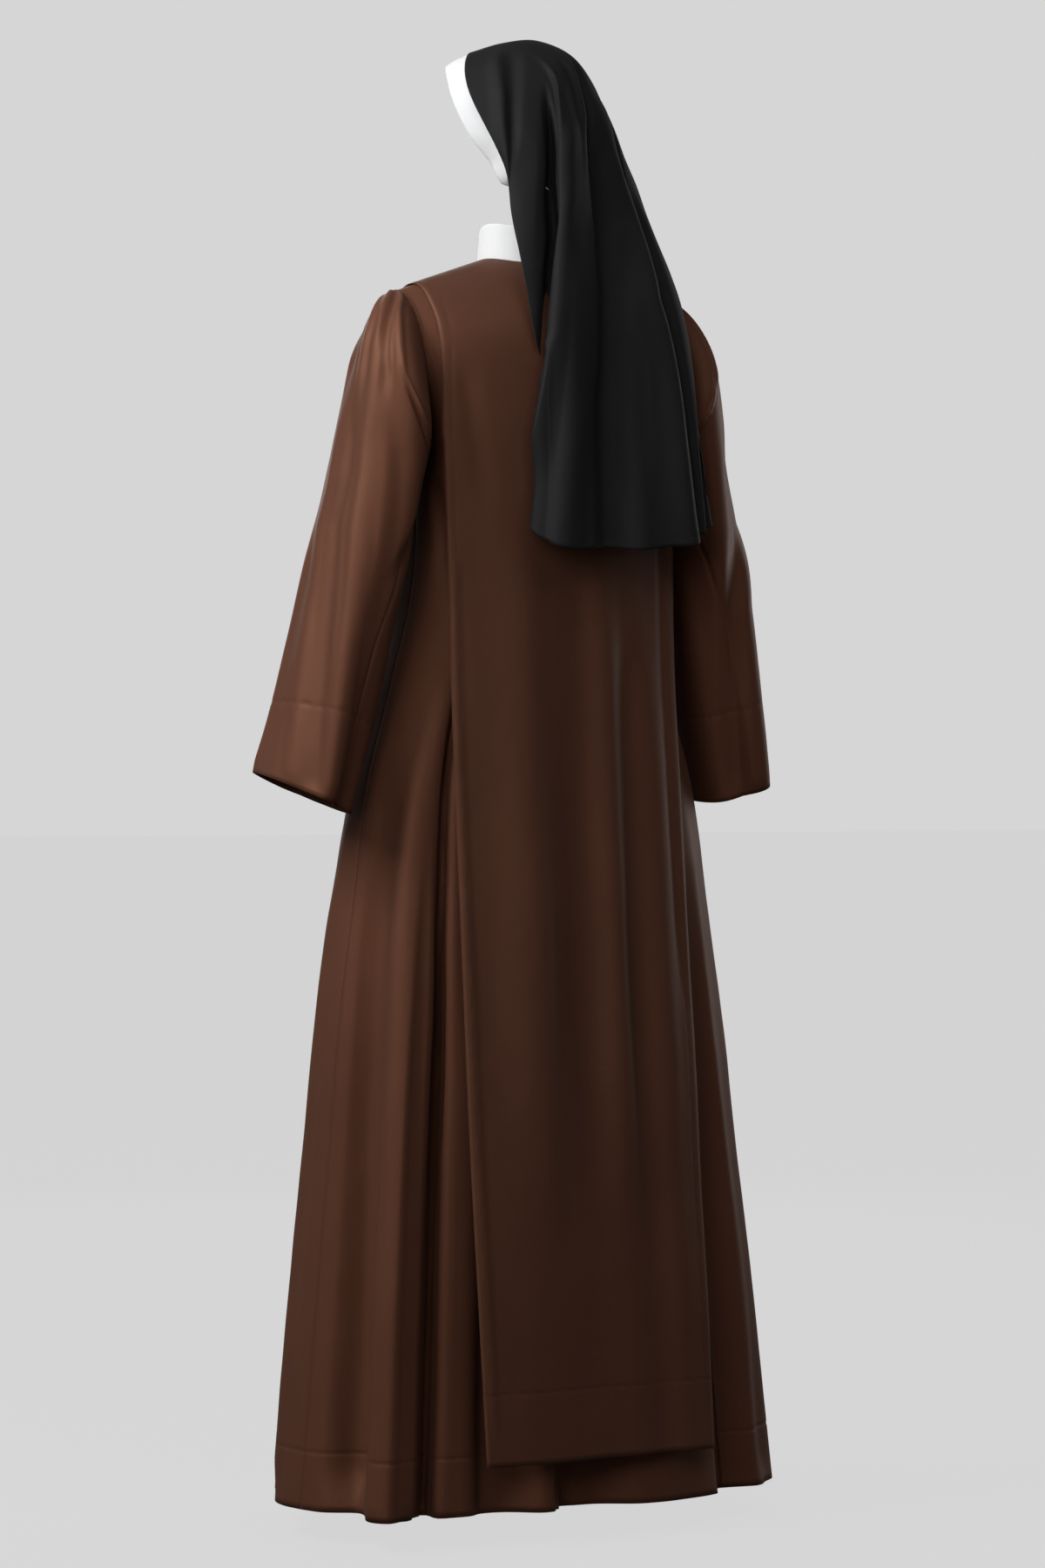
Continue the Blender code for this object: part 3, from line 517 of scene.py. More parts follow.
TWILL = {"slant": 52, "ribs": 240.0, "grain": 900.0}
PLAIN_WEAVE = {"slant": 0, "ribs": 420.0, "grain": 1400.0}
BROWN = dict(
    roughness=0.56, specular=0.38, gloss_colour=(1.0, 0.44, 0.26),
    sheen=0.03, sheen_colour=(0.85, 0.50, 0.36), weave=TWILL, bump=0.25,
)
BLACK = dict(
    roughness=0.62, specular=0.08, gloss_colour=(1.0, 1.0, 1.0), sheen=0.02, sheen_colour=(0.8, 0.8, 0.85),
    weave=PLAIN_WEAVE, bump=0.20,
)
tunic_cloth = cloth_material("tunic_twill", (0.085, 0.034, 0.020), (0.062, 0.024, 0.014), **BROWN)
scapular_cloth = cloth_material("scapular_twill", (0.072, 0.030, 0.0185), (0.054, 0.0222, 0.0136), **BROWN)
brown_thread = cloth_material("brown_thread", (0.072, 0.030, 0.019), (0.044, 0.018, 0.011), **BROWN)
veil_cloth = cloth_material("veil_weave", (0.0105, 0.0105, 0.0112), (0.0080, 0.0080, 0.0086), **BLACK)
black_thread = cloth_material("black_thread", (0.0100, 0.0100, 0.0106), (0.0066, 0.0066, 0.0070), **BLACK)
linen = cloth_material(
    "white_linen", (0.62, 0.624, 0.63), (0.575, 0.579, 0.586),
    roughness=0.72, specular=0.25, gloss_colour=(1, 1, 1), sheen=0.05, sheen_colour=(1, 1, 1),
    weave=PLAIN_WEAVE, bump=0.30,
)


# Tunic.
def shoulder_z(x):
    return NECK_POINT_Z - SHOULDER_SLOPE * (np.abs(x) - NECK_HALF_WIDTH)


def body_depth(x, z, side):
    """The tunic's depth at a place above the underarm, without the sign."""
    share = np.minimum(1.0, np.abs(x) / along(BODY, "height", "half width", z))
    across = (1 - share**RING_POWER) ** (1 / RING_POWER)
    t = np.clip((shoulder_z(x) - z) / ROUNDING[side], 0, 1)
    return along(BODY, "height", side, z) * across * np.sqrt(1 - (1 - t) ** 2)


def neck_depth(x, side):
    return NECK_DEPTH[side] * np.sqrt(np.clip(1 - (x / NECK_HALF_WIDTH) ** 2, 0, None))


def neckline_z(x, side):
    """Height where the body meets the upright neck opening."""
    x = np.asarray(x, float)
    depth = neck_depth(x, side)
    high, low = shoulder_z(x), UNDERARM_Z + 0 * x
    for _ in range(40):
        middle = (high + low) / 2
        above = body_depth(x, middle, side) < depth
        high, low = np.where(above, middle, high), np.where(above, low, middle)
    return (high + low) / 2


def yoke_x(column, share):
    """x of a column, without its sign, at a share of the way up the yoke."""
    edge = along(ARMHOLE, "share up", "half width", share)
    angle = np.radians(np.interp(column, range(LAST_COLUMN + 1), QUARTER_ANGLES))
    ring = edge * np.sin(angle) ** (2 / RING_POWER)
    neck = NECK_HALF_WIDTH * np.sin(math.pi / 2 * np.minimum(column, NECK_COLUMN) / NECK_COLUMN)
    spread = (column - NECK_COLUMN) / (COVERED_COLUMN - NECK_COLUMN)
    covered = NECK_HALF_WIDTH + (SCAPULAR_HALF_WIDTH - NECK_HALF_WIDTH) * spread
    rest = (column - COVERED_COLUMN) / (LAST_COLUMN - COVERED_COLUMN)
    beside = SCAPULAR_HALF_WIDTH + (edge - SCAPULAR_HALF_WIDTH) * rest
    above = np.where(column <= NECK_COLUMN, neck, np.where(column <= COVERED_COLUMN, covered, beside))
    above = np.minimum(above, edge * (0.9 + 0.1 * column / (LAST_COLUMN + 1)))
    return ring + (above - ring) * ease(share / 0.6)


def skirt_surface(angle, z, side):
    """The tunic below the underarm, at angles in degrees from the centre back."""
    a = np.radians(angle)
    power = 2 / RING_POWER
    x = along(BODY, "height", "half width", z) * np.abs(np.sin(a)) ** power * np.sign(np.sin(a))
    y = along(BODY, "height", side, z) * np.abs(np.cos(a)) ** power * np.sign(np.cos(a))
    out = np.zeros(np.broadcast(a, z).shape)
    for fold in SKIRT_FOLDS:
        grown = ease((fold["starts"] - z) / (fold["starts"] - fold["full"]))
        out = out + fold["depth"] * swell(turned(angle - fold["angle"]), fold["half width"]) * grown
    push = unit(np.stack([np.sin(a), 1.2 * np.cos(a), 0 * a], -1))
    return np.stack([x + push[..., 0] * out, y + push[..., 1] * out, z + 0 * x], -1)


def tunic_form(side, columns, yoke_rows, heights):
    """Outer points of a panel with level shoulders, with each point's angle and height.

    columns are places from the left seam, LAST_COLUMN, over the centre, 0, to the right seam. heights are
    those of the rows below the underarm.
    """
    sign = 1 if side == "back" else -1
    share = (1 - np.linspace(0, 1, yoke_rows) ** 1.8)[:, None]
    x = np.sign(columns) * yoke_x(np.abs(columns), share)
    inside = np.abs(x) < NECK_HALF_WIDTH
    top = np.where(inside, neckline_z(np.clip(x, -NECK_HALF_WIDTH, NECK_HALF_WIDTH), side), shoulder_z(x))
    z = UNDERARM_Z + share * (top - UNDERARM_Z)
    depth = body_depth(x, z, side)
    depth[0] = np.where(inside[0], neck_depth(x[0], side), depth[0])
    yoke = np.stack([x, sign * depth, z], -1)
    angle = np.sign(columns) * np.interp(np.abs(columns), range(LAST_COLUMN + 1), QUARTER_ANGLES)
    if side == "front":
        angle = 180 - angle
    heights = np.asarray(heights, float)[:, None]
    skirt = skirt_surface(angle[None, :] + 0 * heights, heights + 0 * angle[None, :], side)
    grid = np.concatenate([yoke, skirt])
    angles = np.broadcast_to(angle, grid.shape[:2]).copy()
    heights = grid[..., 2].copy()
    if side == "front":
        return grid[:, ::-1], angles[:, ::-1], heights[:, ::-1]
    return grid, angles, heights


def seam_normals(grid, yoke_rows):
    """Normals of a panel, turned square to its side seams and its shoulder seams."""
    normals = grid_normals(grid)
    normals[yoke_rows - 1 :, 0, 1] = 0
    normals[yoke_rows - 1 :, -1, 1] = 0
    seams = np.abs(grid[0, :, 0]) >= NECK_HALF_WIDTH
    slope = np.sign(grid[0, seams, 0]) * SHOULDER_SLOPE
    normals[0, seams] = np.stack([slope, 0 * slope, 0 * slope + 1], -1)
    return unit(normals)


# Along a crease, across is the angle from the centre back towards the left side, and down is the depth below
# the origin. The same lines run on over the side seams.
TUNIC_CREASES = rows_of(
    CREASE,
    ((0.60, 0.71, 0.81, 1.00, 1.20, 1.43), (98, 102, 104, 105, 105, 104), 0.005, 0.014, 0.020, (0.20, 0.06)),
    ((0.80, 0.94, 1.00, 1.16, 1.30, 1.42), (116, 119, 120, 121, 118, 116), -0.006, 0.014, 0.012,
     (0.16, 0.10)),
    ((0.56, 0.71, 0.81, 1.00, 1.20, 1.29, 1.43), (66, 72, 72, 73, 72, 70, 67), -0.014, 0.018, 0.042,
     (0.22, 0.06)),
    ((0.50, 0.62, 0.80, 0.96, 1.12, 1.28, 1.44), (56, 56, 56, 55.5, 55, 54, 54), 0.006, 0.012, 0.020,
     (0.20, 0.03)),
    ((0.60, 0.71, 0.90, 1.10, 1.29, 1.44), (44.6, 44.4, 44.7, 44.9, 44.9, 44.9), 0.013, 0.0055, 0.0055,
     (0.30, 0.03)),
    ((0.40, 0.61, 0.71, 0.90, 1.10, 1.29, 1.44), (42, 41.5, 40.5, 40.5, 41, 41, 41), -0.014, 0.0035, 0.004,
     (0.20, 0.03)),
    ((0.44, 0.61, 0.71, 0.85, 1.00, 1.10, 1.29, 1.44), (38, 37, 36, 35.5, 36, 37, 37, 37), 0.003, 0.014,
     0.003, (0.18, 0.03), {"lean": 0.004}),
    ((0.70, 0.90, 1.10, 1.44), (29, 28, 28.5, 28.5), 0.009, 0.011, 0.020, (0.30, 0.01)),
    ((1.10, 1.25, 1.44), (9, 9, 8), 0.006, 0.004, 0.020, (0.12, 0.01), {"lean": -0.003}),
    ((1.10, 1.25, 1.44), (5, 5, 4), -0.012, 0.012, 0.004, (0.12, 0.01)),
    ((0.50, 0.70, 1.00, 1.44), (-34, -35, -36, -36), -0.012, 0.005, 0.014, (0.2, 0.02)),
    ((0.50, 0.70, 1.00, 1.44), (-39, -40, -40, -41), 0.007, 0.020, 0.005, (0.2, 0.02), {"lean": 0.003}),
    ((0.62, 0.90, 1.20, 1.44), (-60, -59, -60, -58), -0.006, 0.014, 0.018, (0.25, 0.05)),
    ((0.56, 0.90, 1.20, 1.44), (-79, -81, -80, -82), -0.007, 0.010, 0.016, (0.25, 0.05)),
    ((0.66, 0.90, 1.20, 1.44), (-93, -95, -96, -95), 0.006, 0.022, 0.012, (0.25, 0.05)),
    ((0.58, 0.90, 1.20, 1.44), (-112, -114, -113, -114), -0.009, 0.014, 0.007, (0.25, 0.05)),
    ((0.50, 0.80, 1.10, 1.44), (-124, -127, -129, -130), 0.008, 0.024, 0.010, (0.20, 0.05)),
    ((0.48, 0.80, 1.10, 1.44), (-141, -144, -145, -146), -0.011, 0.010, 0.008, (0.20, 0.05)),
    ((0.75, 0.95, 1.20, 1.44), (-160, -159, -160, -161), 0.005, 0.012, 0.018, (0.25, 0.05)),
    ((0.80, 1.05, 1.44), (178, 177, 176), -0.008, 0.012, 0.008, (0.25, 0.05)),
    ((0.66, 0.95, 1.20, 1.44), (162, 161, 162, 160), 0.005, 0.016, 0.012, (0.25, 0.05)),
    ((0.46, 0.80, 1.10, 1.44), (143, 146, 147, 148), -0.012, 0.008, 0.010, (0.20, 0.05)),
    ((0.50, 0.80, 1.10, 1.44), (128, 130, 132, 133), 0.008, 0.010, 0.024, (0.20, 0.05)),
    ((0.60, 0.90, 1.20, 1.44), (117, 118, 119, 118), -0.006, 0.010, 0.012, (0.20, 0.05)),
    ((0.235, 0.30, 0.42), (80, 68, 56), -0.005, 0.008, 0.010, (0.03, 0.10)),
    ((0.235, 0.32, 0.46), (-80, -70, -60), -0.005, 0.008, 0.010, (0.03, 0.12)),
    ((0.235, 0.30, 0.44), (101, 112, 122), -0.005, 0.009, 0.008, (0.03, 0.12)),
    ((0.235, 0.32, 0.42), (-102, -110, -124), -0.005, 0.009, 0.008, (0.03, 0.10)),
)
HEM_TURNED_UP = 0.065
SEAM_METRES_PER_DEGREE = 0.0138
SEAM_REGION = 9
HEM_GROOVE = 0.0007
EDGE_GROOVE = 0.0006


def groove(start, end, down, depth, width=0.0016, fade=0.01, **more):
    """The shallow trough that a line of sewing presses into the cloth all across it."""
    line = {"runs": "across", "across": (start, end), "down": (down, down), "depth": -depth, **more}
    return {**line, "before": width, "after": width, "fades": (fade, fade)}


def build_tunic_panel(side):
    wide, yoke_rows, skirt_rows = PANEL_POINTS
    columns = np.linspace(LAST_COLUMN, -LAST_COLUMN, wide)
    hem_line = HEM_Z + HEM_TURNED_UP
    rows = refined(np.linspace(UNDERARM_Z, HEM_Z, skirt_rows + 1), [hem_line])[1:]
    grid, angles, heights = tunic_form(side, columns, yoke_rows, rows)
    creases = TUNIC_CREASES + (groove(-200, 300, -hem_line, HEM_GROOVE),)
    # Beside the side seams both panels measure alike, so that their creases meet.
    scale = metres_across(grid, angles)
    alike = SEAM_METRES_PER_DEGREE * along(BODY, "height", "half width", heights)
    scale = scale + (alike - scale) * swell(np.abs(angles) - 90, SEAM_REGION)
    grid = creased(grid, angles, -heights, creases, normals=seam_normals(grid, yoke_rows), scale=scale)
    held = ease((-heights - 0.02) / 0.10)
    held[:yoke_rows] *= ease((LAST_COLUMN - np.abs(columns)) / 2.0)
    relief = held * ease(np.abs(heights - UNDERARM_Z) / 0.03) + held * (np.abs(columns) < LAST_COLUMN - 2)
    grid = rumpled(grid, np.minimum(relief, 1.0), normals=seam_normals(grid, yoke_rows))
    grid = raised(grid)
    away = (1 if side == "back" else -1) * SEAM_GAP / 2
    seams = np.abs(grid[0, :, 0]) >= NECK_HALF_WIDTH
    grid[yoke_rows - 1 :, 0, 1] += away
    grid[yoke_rows - 1 :, -1, 1] += away
    grid[0, seams, 1] += away
    normals = seam_normals(grid, yoke_rows)
    thickness = CLOTH * (1 + ease((hem_line - heights[:, 0]) / 0.004))
    name = "tunic_" + side
    piece = shell("dressed_" + name, grid, thickness, tunic_cloth, normals=normals)
    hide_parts(name)
    row = int(np.argmin(np.abs(heights[:, 0] - hem_line)))
    hem = stitches("stitches_" + name + "_hem", grid[row], normals[row], brown_thread)
    return piece


# Scapular.
def scapular_depth(x, z, side):
    roundness = along(SCAPULAR, "height", "roundness", z)
    depth = along(SCAPULAR, "height", side, z) * np.sqrt(1 - (x / roundness) ** 2)
    place = x / SCAPULAR_HALF_WIDTH
    waves = sum(wave["depth"] * swell(place - wave["place"], wave["half width"]) for wave in SCAPULAR_WAVES)
    return depth + waves * ease((-0.35 - z) / 0.5)


def scapular_form(side):
    """Outer points of a scapular panel: on the tunic at the shoulder, and hanging free lower down."""
    sign = 1 if side == "back" else -1
    wide, yoke_rows, hanging_rows = SCAPULAR_POINTS
    stitched = COVERED_COLUMN * (1 - SCAPULAR_EDGE_STITCHED / SCAPULAR_HALF_WIDTH)
    columns = refined(
        np.linspace(COVERED_COLUMN, -COVERED_COLUMN, wide), [stitched, -stitched],
        SCAPULAR_HALF_WIDTH / COVERED_COLUMN,
    )
    tunic = tunic_form(side, columns, yoke_rows, [UNDERARM_Z - 0.1, HEM_Z])[0]
    normals = seam_normals(tunic, yoke_rows)
    lying = (tunic + normals * (LAY_GAP + CLOTH))[:yoke_rows]
    share_across = columns / COVERED_COLUMN * (1 if lying[0, 0, 0] > 0 else -1)
    x = SCAPULAR_HALF_WIDTH * share_across + 0 * lying[..., 0]
    z = lying[..., 2]
    free = ease((SCAPULAR_FREE_FROM - z) / (SCAPULAR_FREE_FROM - SCAPULAR_FREE_AT))[..., None]
    free[0] = 0
    hanging = np.stack([x, sign * scapular_depth(x, z, side), z], -1)
    above = lying + (hanging - lying) * free
    hem_line = SCAPULAR_HEM_Z + SCAPULAR_HEM_TURNED_UP
    heights = refined(np.linspace(UNDERARM_Z, SCAPULAR_HEM_Z, hanging_rows + 1), [hem_line])[1:, None]
    half = SCAPULAR_HALF_WIDTH - along(SCAPULAR, "height", "narrowing", heights)
    x = half * share_across
    below = np.stack([x, sign * scapular_depth(x, heights + 0 * x, side), heights + 0 * x], -1)
    grid = np.concatenate([above, below])
    places = np.broadcast_to(share_across, grid.shape[:2]).copy()
    return grid, places, grid[..., 2].copy()


# Along a crease, across is the share of the half width, 1 at the left edge, and down is the depth below the
# origin.
SCAPULAR_CREASES = {
    "back": rows_of(
        CREASE,
        ((0.30, 0.50, 0.80, 1.00, 1.25), (0.42, 0.40, 0.39, 0.38, 0.36), 0.005, 0.016, 0.030, (0.16, 0.40)),
        ((0.30, 0.50, 0.80, 1.00, 1.25), (0.02, -0.04, -0.05, -0.06, -0.06), -0.005, 0.020, 0.024,
         (0.18, 0.40)),
        ((0.34, 0.50, 0.80, 1.00, 1.20), (-0.28, -0.31, -0.31, -0.32, -0.33), 0.004, 0.012, 0.020,
         (0.14, 0.34)),
        ((0.40, 0.50, 0.80, 1.00, 1.20), (-0.50, -0.51, -0.51, -0.53, -0.55), -0.004, 0.012, 0.014,
         (0.12, 0.34)),
        ((0.40, 0.60, 0.90, 1.15), (-0.70, -0.73, -0.73, -0.74), 0.003, 0.012, 0.014, (0.12, 0.30)),
        ((0.85, 1.10, 1.40), (0.40, 0.40, 0.40), -0.0050, 0.034, 0.034, (0.28, 0.01)),
        ((0.85, 1.10, 1.40), (-0.02, -0.02, -0.02), 0.0045, 0.028, 0.028, (0.28, 0.01)),
        ((0.85, 1.10, 1.40), (-0.30, -0.30, -0.30), -0.0030, 0.026, 0.026, (0.28, 0.01)),
        ((0.30, 0.60, 0.90, 1.20, 1.36), (0.95, 0.95, 0.94, 0.93, 0.93), 0.002, 0.005, 0.005, (0.10, 0.10)),
        ((0.26, 0.40, 0.60, 0.90), (-0.86, -0.86, -0.88, -0.91), -0.003, 0.006, 0.005, (0.08, 0.14)),
        ((0.12, 0.20, 0.32), (0.86, 0.80, 0.70), -0.002, 0.012, 0.008, (0.05, 0.08)),
    ),
    "front": rows_of(
        CREASE,
        ((0.34, 0.60, 0.95, 1.36), (0.48, 0.50, 0.46, 0.50), -0.004, 0.020, 0.026, (0.20, 0.16)),
        ((0.40, 0.70, 1.00, 1.36), (0.08, 0.12, 0.10, 0.14), 0.005, 0.030, 0.020, (0.16, 0.10)),
        ((0.30, 0.55, 0.90, 1.30), (-0.34, -0.28, -0.30, -0.26), -0.004, 0.018, 0.024, (0.16, 0.22)),
        ((0.44, 0.80, 1.36), (-0.66, -0.70, -0.66), 0.004, 0.018, 0.018, (0.20, 0.12)),
    ),
}
SCAPULAR_HEM_TURNED_UP = 0.079
SCAPULAR_EDGE_STITCHED = 0.010


def build_scapular(side):
    grid, places, heights = scapular_form(side)
    hem_line = SCAPULAR_HEM_Z + SCAPULAR_HEM_TURNED_UP
    stitched = 1 - SCAPULAR_EDGE_STITCHED / SCAPULAR_HALF_WIDTH
    lines = [groove(-2, 2, -hem_line, HEM_GROOVE, puckers=0.11)]
    for place in (-stitched, stitched):
        lines.append({
            "down": (-0.2, -hem_line), "across": (place, place), "depth": -EDGE_GROOVE, "before": 0.0018,
            "after": 0.0018, "fades": (0.01, 0.01), "puckers": 0.035,
        })
    grid = creased(grid, places, -heights, SCAPULAR_CREASES[side] + tuple(lines))
    grid = raised(rumpled(grid, ease((-heights - 0.09) / 0.12)))
    seams = np.abs(grid[0, :, 0]) >= NECK_HALF_WIDTH
    normals = seam_normals(grid, len(grid))
    grid[0, seams, 1] += (1 if side == "back" else -1) * SEAM_GAP / 2
    thickness = CLOTH * (1 + ease((hem_line - heights[:, 0]) / 0.004))
    name = "scapular_" + side
    piece = shell("dressed_" + name, grid, thickness, scapular_cloth, normals=normals)
    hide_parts(name)
    row = int(np.argmin(np.abs(heights[:, 0] - hem_line)))
    lines = [stitches("stitches_" + name + "_hem", grid[row], normals[row], brown_thread)]
    for edge, place in (("left", stitched), ("right", -stitched)):
        column = int(np.argmin(np.abs(places[0] - place)))
        label = "stitches_" + name + "_" + edge
        lines.append(stitches(label, grid[:row, column], normals[:row, column], brown_thread))
    return piece


# Sleeves.
def armhole_loop():
    """The left armhole's edge, from the shoulder seam down the back, along the underarm, up the front."""
    columns = np.array([float(LAST_COLUMN), LAST_COLUMN - 1.0])
    back = tunic_form("back", columns, ARMHOLE_ROWS, [HEM_Z])[0][:ARMHOLE_ROWS, 0]
    front = tunic_form("front", columns, ARMHOLE_ROWS, [HEM_Z])[0][:ARMHOLE_ROWS, -1]
    return np.concatenate([back, front[-2:0:-1]])


def evenly(loop, count):
    closed = np.concatenate([loop, loop[:1]])
    run = np.concatenate([[0], np.cumsum(np.linalg.norm(np.diff(closed, axis=0), axis=1))])
    steps = np.arange(count) * run[-1] / count
    return np.stack([np.interp(steps, run, closed[:, axis]) for axis in range(3)], axis=1)


def sleeve_form():
    """Outer points of the left sleeve from armhole to cuff, with each point's turn and place along it."""
    wide, long = SLEEVE_POINTS
    turn = 360 * np.arange(wide) / wide
    at = refined(np.linspace(0, 1, long) ** 1.25, [1 - CUFF_TURNED_UP], SLEEVE_LENGTH)[:, None]
    centre = np.stack([along(SLEEVE, "along", axis, at) for axis in ("x", "y", "z")], -1)
    tip = np.radians(along(SLEEVE, "along", "tip", at))
    lean = np.radians(along(SLEEVE, "along", "lean", at))
    across_way = np.stack([np.cos(tip), 0 * tip, np.sin(tip)], -1)
    deep_way = np.stack([0 * lean, np.cos(lean), np.sin(lean)], -1)
    across = along(SLEEVE, "along", "across", at)[..., None] * across_way
    deep = along(SLEEVE, "along", "deep", at)[..., None] * deep_way
    a = np.radians(turn)
    folds = 0 * (at + turn)
    for fold in SLEEVE_FOLDS:
        apart = turned(turn - fold["turn"] - fold["drift"] * (at - 0.5))
        folds = folds + fold["depth"] * swell(apart, fold["half width"])
    growth = 1 + folds * ease((at - 0.15) / 0.6) / 0.065
    rings = centre + growth[..., None] * (np.cos(a)[None, :, None] * across + np.sin(a)[None, :, None] * deep)
    start = evenly(armhole_loop(), wide) + np.array([SLEEVE_SET_IN, 0, 0])
    grid = start + (rings - start) * ease(at / SLEEVE_BLENDS_OVER)[..., None]
    return grid, np.broadcast_to(turn, grid.shape[:2]).copy(), at + 0 * turn


# Along a crease, across is the turn from the outer side over the back to the underarm, and down is the share
# of the sleeve's length.
SLEEVE_HEAD_GATHERS = rows_of(
    CREASE,
    ((0.02, 0.10, 0.16, 0.24, 0.36), (-22, -10, 0, 6, 8), 0.0030, 0.007, 0.006, (0.04, 0.14)),
    ((0.02, 0.11, 0.16, 0.24, 0.34), (-8, 6, 16, 22, 24), 0.0026, 0.006, 0.006, (0.04, 0.12)),
    ((0.04, 0.14, 0.19, 0.23, 0.30), (8, 24, 34, 40, 44), -0.0040, 0.006, 0.007, (0.08, 0.08)),
    ((0.02, 0.10, 0.14, 0.18, 0.24), (10, 28, 44, 58, 66), 0.0030, 0.006, 0.006, (0.05, 0.07)),
    ((0.02, 0.10, 0.18, 0.28), (-40, -32, -24, -20), -0.0026, 0.007, 0.007, (0.05, 0.10)),
    ((0.02, 0.10, 0.18, 0.30), (-60, -52, -42, -36), 0.0024, 0.008, 0.007, (0.05, 0.12)),
    ((0.02, 0.10, 0.17, 0.26), (-84, -80, -70, -62), -0.0022, 0.008, 0.008, (0.05, 0.10)),
)
SLEEVE_SEAM = rows_of(
    CREASE,
    ((0.05, 0.25, 0.33, 0.48, 0.54, 0.71, 0.86, 0.96, 1.05),
     (172, 150, 138, 130, 118, 98, 96, 104, 108), -0.0016, 0.0022, 0.0022, (0.02, 0.01)),
)
SLEEVE_FOLDS_DOWN = rows_of(
    CREASE,
    ((0.26, 0.35, 0.42, 0.50, 0.58, 0.67, 0.75, 0.84, 0.92, 1.02),
     (-24, -18, -15, -17, -8, -1, 6, 16, 26, 38), 0.0035, 0.014, 0.010, (0.14, 0.05)),
    ((0.24, 0.35, 0.42, 0.50, 0.58, 0.67, 0.75, 0.84, 0.92, 1.02), (2, 7, 10, 8, 16, 24, 31, 41, 50, 60),
     -0.0055, 0.010, 0.010, (0.12, 0.05)),
    ((0.12, 0.19, 0.35, 0.42, 0.50, 0.58, 0.67, 0.75, 0.83, 0.92, 1.02),
     (24, 32, 31, 35, 37, 44, 52, 58, 66, 74, 84), 0.0050, 0.010, 0.016, (0.14, 0.05)),
    ((0.26, 0.33, 0.41, 0.49, 0.57, 0.66, 0.82, 0.97, 1.05), (64, 72, 82, 88, 94, 94, 98, 106, 110), -0.0060,
     0.013, 0.018, (0.12, 0.05)),
    ((0.18, 0.21, 0.24, 0.27), (54, 76, 104, 142), 0.0050, 0.006, 0.005, (0.05, 0.03)),
    ((0.20, 0.24, 0.28, 0.31), (60, 84, 112, 142), -0.0050, 0.005, 0.007, (0.05, 0.03)),
    ((0.38, 0.46, 0.53, 0.62), (150, 138, 122, 104), -0.0080, 0.012, 0.010, (0.08, 0.10)),
    ((0.40, 0.60, 0.80, 1.02), (200, 204, 210, 214), -0.0050, 0.012, 0.014, (0.14, 0.08)),
    ((0.30, 0.50, 0.70, 1.02), (236, 240, 246, 250), 0.0050, 0.014, 0.012, (0.14, 0.05)),
    ((0.26, 0.50, 0.78), (276, 284, 292), -0.0045, 0.012, 0.014, (0.12, 0.16)),
    ((0.45, 0.70, 1.02), (318, 322, 330), 0.0035, 0.012, 0.012, (0.16, 0.05)),
)
SLEEVE_CREASES = {
    "left": SLEEVE_HEAD_GATHERS + SLEEVE_FOLDS_DOWN + SLEEVE_SEAM,
    "right": SLEEVE_HEAD_GATHERS + SLEEVE_SEAM + rows_of(
        CREASE,
        ((0.26, 0.50, 0.66, 0.83, 1.02), (8, 18, 60, 76, 88), 0.0060, 0.016, 0.012, (0.14, 0.05)),
        ((0.30, 0.50, 0.66, 0.83, 1.02), (44, 50, 88, 104, 116), -0.0050, 0.012, 0.014, (0.12, 0.08)),
        ((0.19, 0.23, 0.27), (60, 96, 140), 0.0045, 0.006, 0.006, (0.05, 0.04)),
        ((0.36, 0.55, 0.75, 1.02), (196, 204, 206, 212), -0.0055, 0.014, 0.012, (0.12, 0.10)),
        ((0.28, 0.50, 0.74, 1.02), (240, 246, 250, 256), 0.0055, 0.012, 0.016, (0.14, 0.05)),
        ((0.30, 0.54, 0.80), (286, 290, 300), -0.0050, 0.012, 0.012, (0.12, 0.16)),
        ((0.50, 0.72, 1.02), (330, 332, 338), -0.0035, 0.012, 0.012, (0.14, 0.05)),
    ),
}
CUFF_TURNED_UP = 0.155
SLEEVE_LENGTH = 0.52
CUFF_GROOVE = 0.0009


def build_sleeve(which):
    grid, turn, at = sleeve_form()
    cuff_line = 1 - CUFF_TURNED_UP
    sewing = groove(-400, 400, cuff_line, CUFF_GROOVE, width=0.0024, puckers=11)
    creases = SLEEVE_CREASES[which] + (sewing,)
    grid = creased(grid, turn, at, creases, ring=True)
    grid = rumpled(grid, ease((at - 0.04) / 0.25), ring=True)
    if which == "right":
        grid = (grid * np.array([-1, 1, 1]))[:, ::-1]
        grid[:, :, 2] += RIGHT_SHOULDER_RAISED
    normals = grid_normals(grid, ring=True)
    normals[0, :, 0] = 0
    normals = unit(normals)
    thickness = CLOTH * (1 + ease((at[:, 0] - cuff_line) / 0.008))
    name = "sleeve_" + which
    piece = shell("dressed_" + name, grid, thickness, tunic_cloth, ring=True, normals=normals)
    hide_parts(name)
    row = int(np.argmin(np.abs(at[:, 0] - cuff_line)))
    closed = np.concatenate([grid[row], grid[row, :1]])
    closed_normals = np.concatenate([normals[row], normals[row, :1]])
    hem = stitches("stitches_" + name + "_hem", closed, closed_normals, brown_thread)
    return piece


# Collar, veil and band.
def build_collar():
    wide, high = COLLAR_POINTS
    a = 2 * math.pi * np.arange(wide) / wide
    height = np.linspace(COLLAR_HEIGHT, -COLLAR_DROP, high)[:, None]
    shrink = 1 - COLLAR_LEAN * np.maximum(0.0, height) / COLLAR_HEIGHT
    x = -(NECK_HALF_WIDTH - COLLAR_CLEARANCE) * np.sin(a)
    back = np.cos(a) >= 0
    y = (np.where(back, NECK_BACK, NECK_FRONT) - COLLAR_CLEARANCE) * np.cos(a)
    z = np.where(back, neckline_z(x, "back"), neckline_z(x, "front"))
    grid = raised(np.stack([x * shrink, y * shrink, z + height], -1))
    piece = shell("dressed_collar", grid, COLLAR_CLOTH, linen, ring=True)
    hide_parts("collar")
    return piece


